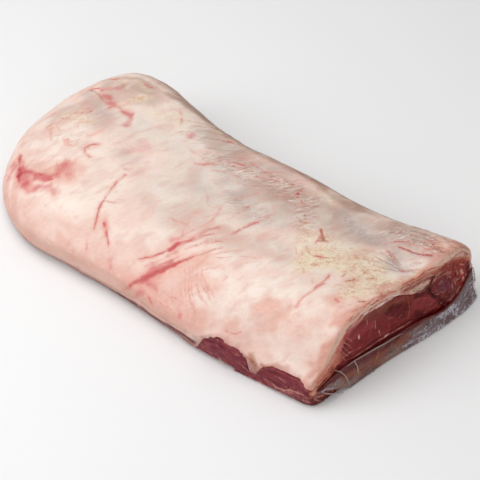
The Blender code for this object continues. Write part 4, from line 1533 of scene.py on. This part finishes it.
# %% Marks on the lean: thin pale threads and dark seams
PALE_LINES = strokes("""
0.7 0.6: 109 -114 29,115 -113 26
0.7 0.6: 115 -113 30,120 -113 25
1.1 0.9: 97 -116 11,100 -115 7,104 -114 6
1 0.5: 119 -113 18,128 -112 10
0.6 0.4: 156 -108 21,165 -108 20
1.1 0.9: 146 -109 9,162 -108 8,183 -106 15,197 -95 11,200 -85 5
1.3 0.8: 186 -107 9,194 -105 9
1.1 0.7: 196 -101 12,199 -93 2
0.6 0.5: 154 -109 7,171 -108 9,184 -107 11
0.6 0.5: 161 -108 22,168 -107 18
0.8 0.8: -170 113 18,-130 117 14,-96 113 17
0.6 0.7: -60 104 20,-20 98 14,20 97 16
0.7 0.7: 60 99 12,100 98 18,130 98 15
0.8 0.8: 150 99 20,180 104 16,214 107 20
""")

DEEP_LINES = strokes("""
0.8 0.7: 75 -116 25,89 -116 28,105 -115 28
0.7 0.6: 138 -110 23,153 -109 25,172 -107 26
0.8 0.6: 167 -107 0,188 -105 2,199 -90 1
0.6 0.5: 105 -115 15,117 -113 8
0.8 0.8: -200 106 12,-160 113 10,-120 116 12
0.7 0.7: 0 97 10,40 98 8,80 99 10
""")

# %% Shape the lean pieces
LEAN_NEAR_CUT, LEAN_AT_CUT, LEAN_WINDOW_SIDE = -0.0015, -0.0008, -0.098
UNDERSIDE = 0.0015  # faces that look down below this z are never seen


def lean_piece(node, name, voxel, rounds, keep):
    """One lean piece with its net: relaxed, merged where it is hidden, split where it shows best."""
    piece = fine_copy(node, name, voxel)
    others = [n for n in ("fat_cap", *LEAN_NODES) if n != node]
    points = points_of(piece)
    gap = distance_to(points, others, SEAM_REACH)
    room = ease(np.abs(past_cut(points)), 0.001, 0.006)
    relax(piece, rounds, ease(gap, 0.001, 0.005) * (0.2 + 0.8 * room))
    points, normals = points_of(piece), normals_of(piece)
    hidden = hidden_side(points, normals, gap, others)
    hidden[(points[:, 2] < UNDERSIDE) & (normals[:, 2] < -0.5)] = 1
    merge_hidden(piece, hidden, keep)
    finer(piece, lambda at: (past_cut(at) > LEAN_NEAR_CUT) | (at[:, 1] < LEAN_WINDOW_SIDE))
    finer(piece, lambda at: past_cut(at) > LEAN_AT_CUT)
    sharpen(piece, node, distance_to(points_of(piece), others, 0.004), others)
    return piece


eye = lean_piece("eye_of_loin", "eye_of_loin_meat", 0.0016, 14, 0.1)
side = lean_piece("side_muscle", "side_muscle_meat", 0.0014, 10, 0.15)
strip = lean_piece("tail_strip", "tail_strip_meat", 0.0010, 6, 0.4)


# %% Relief and paint of the lean
def lean_relief(piece, node, size, base, light, dark):
    """Moves and paints one lean piece. size is that of its fibre bundles."""
    points, normals = points_of(piece), normals_of(piece)
    gap = distance_to(points, [n for n in trees if n not in (node, "end_film")], 0.005)
    free = ease(gap, 0.0004, 0.003) * ease(points[:, 2], 0.0005, 0.004)
    drift = wander(points, 0.0012, 0.008, 81)
    blot = wander(wander(points, 0.0040, 0.016, 84), 0.0014, 0.005, 87)
    off_pale, pale = store_lines(piece, "pale", drift, normals, PALE_LINES, node)
    off_deep, deep = store_lines(piece, "deep", drift, normals, DEEP_LINES, node)
    bundles = lumps(blot, size, 22)
    rise = 0.0005 * lumps(points, 0.018, 21) + 0.0003 * bundles + 0.00012 * lumps(points, 0.0022, 24)
    rise += 0.0004 * pale * (1 - ease(off_pale, 0, 1.5))
    rise -= 0.0007 * deep * (1 - ease(off_deep, 0, 1.5))
    set_points(piece, points + normals * (rise * free)[:, None])
    piece.data.shade_smooth()

    cut = ease(past_cut(points), -0.004, -0.0012)
    wet = cut * (1 - ease(points[:, 2] - 0.003 * lumps(points, 0.012, 23), 0.020, 0.034))
    paint = Paint(len(points), base)
    paint.wash(light, 0.75 * ease(bundles, 0.05, 0.5))
    paint.wash(dark, 0.75 * ease(lumps(blot, 0.010, 25), 0.1, 0.6))
    paint.wash(dark, 0.4 * ease(lumps(blot, 0.0028, 26), 0.2, 0.7))
    paint.wash((150, 76, 80), 0.75 * soft_marks(blot, LEAN_ROSE, node))
    paint.wash((74, 12, 18), 0.9 * soft_marks(drift, LEAN_DARK, node))
    paint.wash((200, 150, 132), 0.8 * soft_marks(blot, LEAN_TISSUE, node) * (0.7 + 0.6 * bundles))
    paint.wash((92, 34, 30), 0.5 * wet)

    # the far side: long fibres under a torn skin
    fibres = lumps(drawn_out(blot, (1.0, 0.1, 0.1), 6), 0.0034, 28)
    skin = lumps(drawn_out(blot, (1.0, 0.1, 0.1), 3), 0.013, 29)
    far = ease(points[:, 1], 0.06, 0.08) * (1 - cut)
    paint.wash(light, 0.6 * far * ease(fibres, 0.0, 0.5))
    paint.wash((184, 136, 126), 0.6 * far * ease(skin, 0.2, 0.6) * (0.8 + 0.5 * fibres))
    margin = (1 - ease(gap - 0.0016 * fibres, 0.0002, 0.0024)) * ease(np.abs(points[:, 1]), 0.080, 0.092)
    paint.wash((178, 116, 106), 0.65 * margin * (1 - cut))

    # the window in the near side: violet lean with a silver skin
    window = ease(-points[:, 1], 0.085, 0.10) * (1 - cut)
    silver = lumps(drawn_out(drift, (1.0, 0.0, -0.3), 3), 0.0022, 32)
    paint.wash((122, 48, 60), 0.6 * window)
    paint.wash((104, 40, 56), 0.55 * window * ease(lumps(drift, 0.0034, 31), 0.0, 0.5))
    paint.wash((176, 112, 112), 0.3 * window * ease(silver, 0.25, 0.7))
    paint_cut(paint, points)
    paint.keep(piece)
    store(piece, cut=cut)


lean_relief(eye, "eye_of_loin", 0.0060, (130, 38, 40), (150, 60, 60), (98, 14, 18))
lean_relief(side, "side_muscle", 0.0050, (126, 34, 36), (148, 66, 62), (84, 10, 14))
lean_relief(strip, "tail_strip", 0.0045, (138, 54, 46), (184, 112, 96), (96, 20, 18))


# %% Finish of the lean
def lean_finish(name, flecked, sparse):
    """Lean with pale flecks. flecked is how strong they are, and sparse how few."""
    r = Recipe(name)
    fine = r.noise(0.0026, 3, 0.65)
    grain = r.noise(0.0020, 2, 0.6, 0.2, r.stretched(8, (0, 0, 0)))
    side_grain = r.times(r.step(grain, 0.55, 0.8), r.math("SUBTRACT", 1.0, r.stored("cut")))
    r.over((170, 106, 104), r.times(side_grain, 0.4))
    r.over((70, 14, 18), r.step(fine, 0.55, 0.8, 0.0, 0.45))
    r.over((156, 50, 44), r.step(fine, 0.2, 0.42, 0.24, 0.0))
    r.over((196, 142, 130), r.step(r.noise(0.0048, 4, 0.7, 1.2), sparse, sparse + 0.1, 0.0, flecked))
    wobble = r.wobble(0.0030, 1.5)
    r.over((204, 150, 138), r.times(r.line("pale", wobble), r.step(fine, 0.34, 0.62, 0.45, 1.0)))
    r.over((52, 8, 14), r.times(r.line("deep", wobble), 0.9))
    r.bump(fine, 0.0005)
    r.bump(grain, 0.0003)
    return r.finish(r.step(fine, 0.3, 0.7, 0.28, 0.42), Subsurface_Weight=0.05, Subsurface_Scale=0.002,
                    Specular_IOR_Level=0.06, Coat_Weight=0.04, Coat_Roughness=0.12)


eye.data.materials.append(lean_finish("lean of the eye", 0.4, 0.62))
side.data.materials.append(lean_finish("lean of the side muscle", 0.9, 0.57))
strip.data.materials.append(lean_finish("lean of the tail strip", 0.9, 0.58))
for piece, node, slot_name in ((eye, "eye_of_loin", "lean"), (side, "side_muscle", "side_lean"),
                               (strip, "tail_strip", "strip_lean")):
    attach(piece, "root")
    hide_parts(node)
    print(piece.name, len(piece.data.polygons), "faces")

# %% [markdown]
# ## The film below the cut end
#
# The film can't follow the corner between the cut face and the table, so it bridges it, and dark juice
# gathers behind. Two things are made: the juice, a wedge that fills the corner, and the film over it, a thin
# closed sheet with folds, clouded where it is creased, with painted highlights where it shines, and clear
# between.
#
# The sheet is laid out as a grid over the face of the solid wedge, so its folds can be drawn along and
# across it. A cloth simulation would need the vacuum and the table and still not give these folds.

# %% Marks on the film
# Painted highlights: whitish patches laid into the film's clouding where it shines.
FILM_HIGHLIGHTS = strokes("""
3.9 0.9: 230 57 9,236 74 6
1.5 0.6: 223 5 5,228 22 4,232 37 4
1.5 0.6: 224 17 9,228 34 8
1.5 0.5: 218 -18 6,221 -4 6
2 0.6: 198 -96 20,202 -83 13
1.5 0.5: 239 87 8,240 98 10
2.5 0.5: 230 23 2,236 49 2
""")

# Painted reflection and shade: dark grey where the film mirrors the dark room and lies in shade, at its foot
# and its far corner.
FILM_REFLECTION_AND_SHADE = strokes("""
1.5 0.8: 235 37 0,238 50 0,241 64 0
2.5 0.8: 231 105 40,237 103 24
2.5 0.7: 242 103 7,244 94 1
1.5 0.6: 210 -61 1,214 -45 1
""")

FILM_BROWN = strokes("""
6.9 0.8: 205 -66 17,211 -42 12,216 -17 12
3.9 0.8: 213 -24 17,215 -30 6
4.9 0.7: 219 -4 12,223 15 10
2.9 0.5: 226 36 12,230 57 9
""")

FILM_THREADS = strokes("""
0.8 0.8: 213 -23 19,214 -27 11,216 -32 3
0.7 0.7: 219 7 16,219 0 12,219 -10 8
0.6 0.6: 218 -1 16,217 -13 11
0.6 0.5: 221 11 15,221 1 8
""")

FILM_CREASE_LINES = strokes("""
0.7 0.8: 231 103 43,236 104 32,239 104 20
0.7 0.8: 236 96 21,238 103 22,237 103 24
0.6 0.6: 239 96 14,243 103 2
0.6 0.7: 222 7 10,226 15 6,229 16 1
0.6 0.6: 227 27 8,230 40 7,231 49 7
0.6 0.6: 233 39 3,234 52 4
""")

# %% Lay out the pocket
ACROSS, UP = 300, 56  # points of the grid
EDGE_ROOM, SCAN_STEP = 0.0008, 0.0006
NO_WEDGE = 0.0016  # how far before the cut the film lies where the wedge is missed
HEM_LOW, HEM_CLIMB = 0.0006, 0.018  # the height of the film's lower edge, and how much it climbs
CLIMB_FROM, CLIMB_RUN = -0.064, 0.033  # where it starts to climb, going to the near side, and how far it goes

film_low, film_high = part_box("end_film")


def wedge_face(y, z):
    """Where the solid wedge's outer face is, looking along the loin from beyond the cut end."""
    hit = trees["end_film"].ray_cast(Vector((0.4, y, z)), Vector((-1, 0, 0)))[0]
    return hit.x if hit else None


def crease_height(y):
    """The top of the wedge at y, found by looking for the highest hit."""
    for z in np.arange(film_high.z, 0.002, -SCAN_STEP):
        if wedge_face(y, z) is not None:
            return z
    return 0.004


def hem_height(y):
    """The film's lower edge. It lies on the table, and climbs to the fat's corner at the near side."""
    return HEM_LOW + HEM_CLIMB * max(0.0, (CLIMB_FROM - y) / CLIMB_RUN)


rows = []
for y in np.linspace(film_low.y + EDGE_ROOM, film_high.y - EDGE_ROOM, ACROSS):
    top = crease_height(y) - 0.0004
    heights = np.linspace(min(hem_height(y), top - 0.002), top, UP)
    rows.append([(wedge_face(y, z) or wedge_face(y, z - 0.0008) or cut_plane(y, z) + NO_WEDGE, y, z)
                 for z in heights])
face = np.array(rows)
lowest, highest = (round(1000 * z) for z in (face[:, -1, 2].min(), face[:, -1, 2].max()))
print("film pocket: crease from", lowest, "to", highest, "mm")


# %% Build a closed sheet from a grid
def closed_sheet(name, front, back):
    """A thin closed solid between two grids of points."""
    made = bmesh.new()
    outer = [[made.verts.new(p) for p in row] for row in front]
    inner = [[made.verts.new(p) for p in row] for row in back]
    rows, columns = len(outer), len(outer[0])
    for i in range(rows - 1):
        for j in range(columns - 1):
            made.faces.new((outer[i][j], outer[i + 1][j], outer[i + 1][j + 1], outer[i][j + 1]))
            made.faces.new((inner[i][j], inner[i][j + 1], inner[i + 1][j + 1], inner[i + 1][j]))
    rim = [(i, 0) for i in range(rows)] + [(rows - 1, j) for j in range(1, columns)]
    rim += [(i, columns - 1) for i in range(rows - 2, -1, -1)] + [(0, j) for j in range(columns - 2, 0, -1)]
    for (a, b), (c, d) in zip(rim, rim[1:] + rim[:1]):
        made.faces.new((outer[a][b], inner[a][b], inner[c][d], outer[c][d]))
    return add_closed(name, made)


def add_closed(name, net):
    """Makes an object of a closed bmesh, smooth and with its faces turned outwards."""
    bmesh.ops.recalc_face_normals(net, faces=net.faces)
    piece = add_net(name, net)
    piece.data.shade_smooth()
    return piece


# %% Folds of the film
FILM_OFF, FILM_THICK = 0.0007, 0.0004

share_up = np.linspace(0, 1, UP)[None, :]
y, z = face[..., 1], face[..., 2]
flat = face.reshape(-1, 3)
warped = wander(flat, 0.0020, 0.010, 91)
hatch = lumps(drawn_out(warped, (0, 0.80, 0.60), 4.5), 0.0021, 31).reshape(y.shape)
pleats = lumps(drawn_out(warped, (0, 0.72, 0.69), 3.0), 0.0062, 32).reshape(y.shape)
right_part = ease(y, 0.0, 0.045)
folds = 0.0010 * pleats + 0.0004 * hatch * (0.4 + 0.6 * right_part)
folds += 0.0009 * lumps(flat, 0.014, 33).reshape(y.shape)
room = ease(share_up, 0.0, 0.15) * (1 - 0.7 * ease(share_up, 0.8, 1.0))
front = face.copy()
front[..., 0] += FILM_OFF + folds * room
back = front.copy()
back[..., 0] -= FILM_THICK
film = closed_sheet("end_film_sheet", front, back)

# %% Clouds and painted highlights on the film
# Painted highlights on the film, added to its clouding below.
bright = soft_marks(warped, FILM_HIGHLIGHTS, "end_film").reshape(y.shape)
cloud = (0.30 + 0.35 * ease(hatch, -0.1, 0.5)) * (0.25 + 0.75 * right_part) + ease(pleats, 0.25, 0.7) * 0.25
clear_top = 0.95 * ease(share_up, 0.52 + 0.30 * right_part, 0.75 + 0.20 * right_part)
cloud = np.clip(cloud + 0.7 * bright, 0, 1) * (1 - clear_top)
sheet_normals = np.tile((0.98, 0.0, 0.12), (len(flat), 1))
store(film, cloud=cloud)
store_lines(film, "white", warped, sheet_normals, FILM_CREASE_LINES, "end_film")

# %% Paint the juice behind the film
BEHIND_FILM, THINNEST_JUICE = 0.0012, 0.0002

meat_side = face.copy()
meat_side[..., 0] = cut_plane(y, z) + 0.0004
juice_front = front.copy()
juice_front[..., 0] = np.maximum(juice_front[..., 0] - BEHIND_FILM, meat_side[..., 0] + THINNEST_JUICE)


def thinned(grid):
    """Every second point of the grid each way. The juice needs no more."""
    return grid[::2, np.arange(0, UP, 2)]


juice = closed_sheet("end_juice", thinned(juice_front), thinned(meat_side))
spots = thinned(juice_front).reshape(-1, 3)
mottle = wander(spots, 0.0030, 0.012, 95)
upper = ease(share_up, 0.50 + 0.34 * right_part, 0.72 + 0.24 * right_part)
paint = Paint(len(spots), (152, 112, 100))
paint.wash((142, 112, 114), thinned(right_part).ravel())
paint.wash((92, 50, 44), 0.6 * ease(lumps(mottle, 0.010, 96), 0.0, 0.6))
paint.wash((146, 124, 126), 0.5 * ease(lumps(mottle, 0.006, 97), 0.1, 0.6))
paint.wash((148, 62, 34), 0.9 * soft_marks(mottle, FILM_BROWN, "end_film"))
# Painted reflection and shade: dark grey patches at the film's foot and far corner.
paint.wash((62, 64, 70), 0.9 * soft_marks(mottle, FILM_REFLECTION_AND_SHADE, "end_film"))
paint.wash((98, 8, 6), 0.97 * thinned(upper).ravel())
paint.keep(juice)
store_lines(juice, "thread", spots, sheet_normals[:len(spots)], FILM_THREADS, "end_film")


# %% Finish of the film and the juice
def film_finish():
    """Nearly clear where it is smooth, whitish where it is creased and where highlights are painted on."""
    r = Recipe("clouded clear film", (124, 104, 102))
    fine = r.noise(0.0016, 3, 0.6, 0.4)
    hatch = r.noise(0.0013, 2, 0.6, 0.8, r.stretched(3, (0, -37, 90)))
    patches = r.math("MINIMUM", r.times(r.stored("cloud"), r.step(fine, 0.25, 0.75, 0.7, 1.3)), 1.0)
    cloud = r.math("MAXIMUM", r.times(patches, r.step(hatch, 0.40, 0.60, 0.3, 1.3)), r.line("white", 0.0))
    r.over((214, 206, 216), cloud)
    r.bump(fine, 0.0003)
    r.bump(hatch, 0.0007)
    r.feed(r.shader.inputs["Alpha"], r.step(cloud, 0.0, 1.0, 0.04, 0.88))
    return r.finish(0.2, Specular_IOR_Level=0.35)


def juice_finish():
    r = Recipe("meat juice")
    middle = r.noise(0.004, 3, 0.6)
    r.over((62, 34, 32), r.step(middle, 0.5, 0.75, 0.0, 0.4))
    r.over((172, 112, 66), r.line("thread", 0.0))
    r.bump(middle, 0.0006)
    return r.finish(0.3, Specular_IOR_Level=0.3)


film.data.materials.append(film_finish())
juice.data.materials.append(juice_finish())

# %% [markdown]
# ## Folds that stand up
#
# Where the film had too much length it has folded over on itself, and each fold is a thin whitish ridge that
# catches the light. They are modelled one by one: a small ridge of five points across, swept along a drawn
# line that is laid on whatever lies below it, and thinned out to nearly nothing at both ends.

# %% Ridges
RIDGES = [route(line) for line in """
198 -77 31,202 -71 26,205 -66 17,208 -64 6,210 -63 1
205 -54 28,208 -51 18,210 -52 10
195 -99 20,200 -91 13,204 -83 6,208 -72 1
203 -63 27,206 -52 27,208 -40 25,210 -31 24,214 -14 21,216 -2 20,218 7 18
97 -116 11,100 -115 7,104 -114 6
231 103 43,236 104 32,239 104 20
236 96 21,238 103 22,237 103 24
""".strip().splitlines()]
RIDGE_HALF, RIDGE_HIGH, RIDGE_OFF = 0.0007, 0.0006, 0.0008
RIDGE_PROFILE = ((-1, -0.8), (-0.45, 0.5), (0, 1), (0.45, 0.5), (1, -0.8))
RIDGE_STEPS = 12  # from one drawn point to the next


def nearest_surface(point):
    """The nearest spot on any of the solids, and the way its face looks."""
    found = min((trees[node].find_nearest(point) for node in trees), key=lambda hit: hit[3])
    return np.array(found[0]), np.array(found[1])


def add_ridge(made, corners):
    """Sweeps one ridge along the drawn corners, into the bmesh."""
    rough = np.array(corners, float) / 1000
    steps = np.linspace(0, len(rough) - 1, RIDGE_STEPS * (len(rough) - 1) + 1)
    line = np.stack([np.interp(steps, np.arange(len(rough)), rough[:, axis]) for axis in range(3)], axis=1)
    for _ in range(8):
        line[1:-1] += 0.5 * ((line[:-2] + line[2:]) / 2 - line[1:-1])
    laid = [nearest_surface(Vector(p)) for p in line]
    up = np.array([n for _, n in laid])
    for _ in range(12):
        up[1:-1] = (up[:-2] + up[2:]) / 2
    place = np.array([p for p, _ in laid]) + RIDGE_OFF * up
    rings = []
    for i in range(len(line)):
        course = place[min(i + 1, len(line) - 1)] - place[max(i - 1, 0)]
        across = np.cross(course, up[i])
        across /= np.linalg.norm(across)
        thin = 0.15 + 0.85 * math.sqrt(math.sin(math.pi * (i + 0.5) / len(line)))
        rings.append([made.verts.new(place[i] + thin * (RIDGE_HALF * s * across + RIDGE_HIGH * h * up[i]))
                      for s, h in RIDGE_PROFILE])
    for a, b in zip(rings, rings[1:]):
        for j in range(5):
            made.faces.new((a[j], a[(j + 1) % 5], b[(j + 1) % 5], b[j]))
    made.faces.new(rings[0])
    made.faces.new(rings[-1][::-1])


folded = bmesh.new()
for corners in RIDGES:
    add_ridge(folded, corners)
ridges = add_closed("film_folds", folded)


def ridge_finish():
    r = Recipe("folded film", (222, 206, 196))
    fine = r.noise(0.002, 3, 0.6)
    r.over((186, 160, 150), r.step(fine, 0.4, 0.65))
    r.bump(fine, 0.0002)
    r.feed(r.shader.inputs["Alpha"], r.step(fine, 0.3, 0.7, 0.45, 0.75))
    return r.finish(0.25, Specular_IOR_Level=0.5)


ridges.data.materials.append(ridge_finish())
for piece in (film, juice, ridges):
    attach(piece, "root")
    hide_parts("end_film")
    print(piece.name, len(piece.data.polygons), "faces")
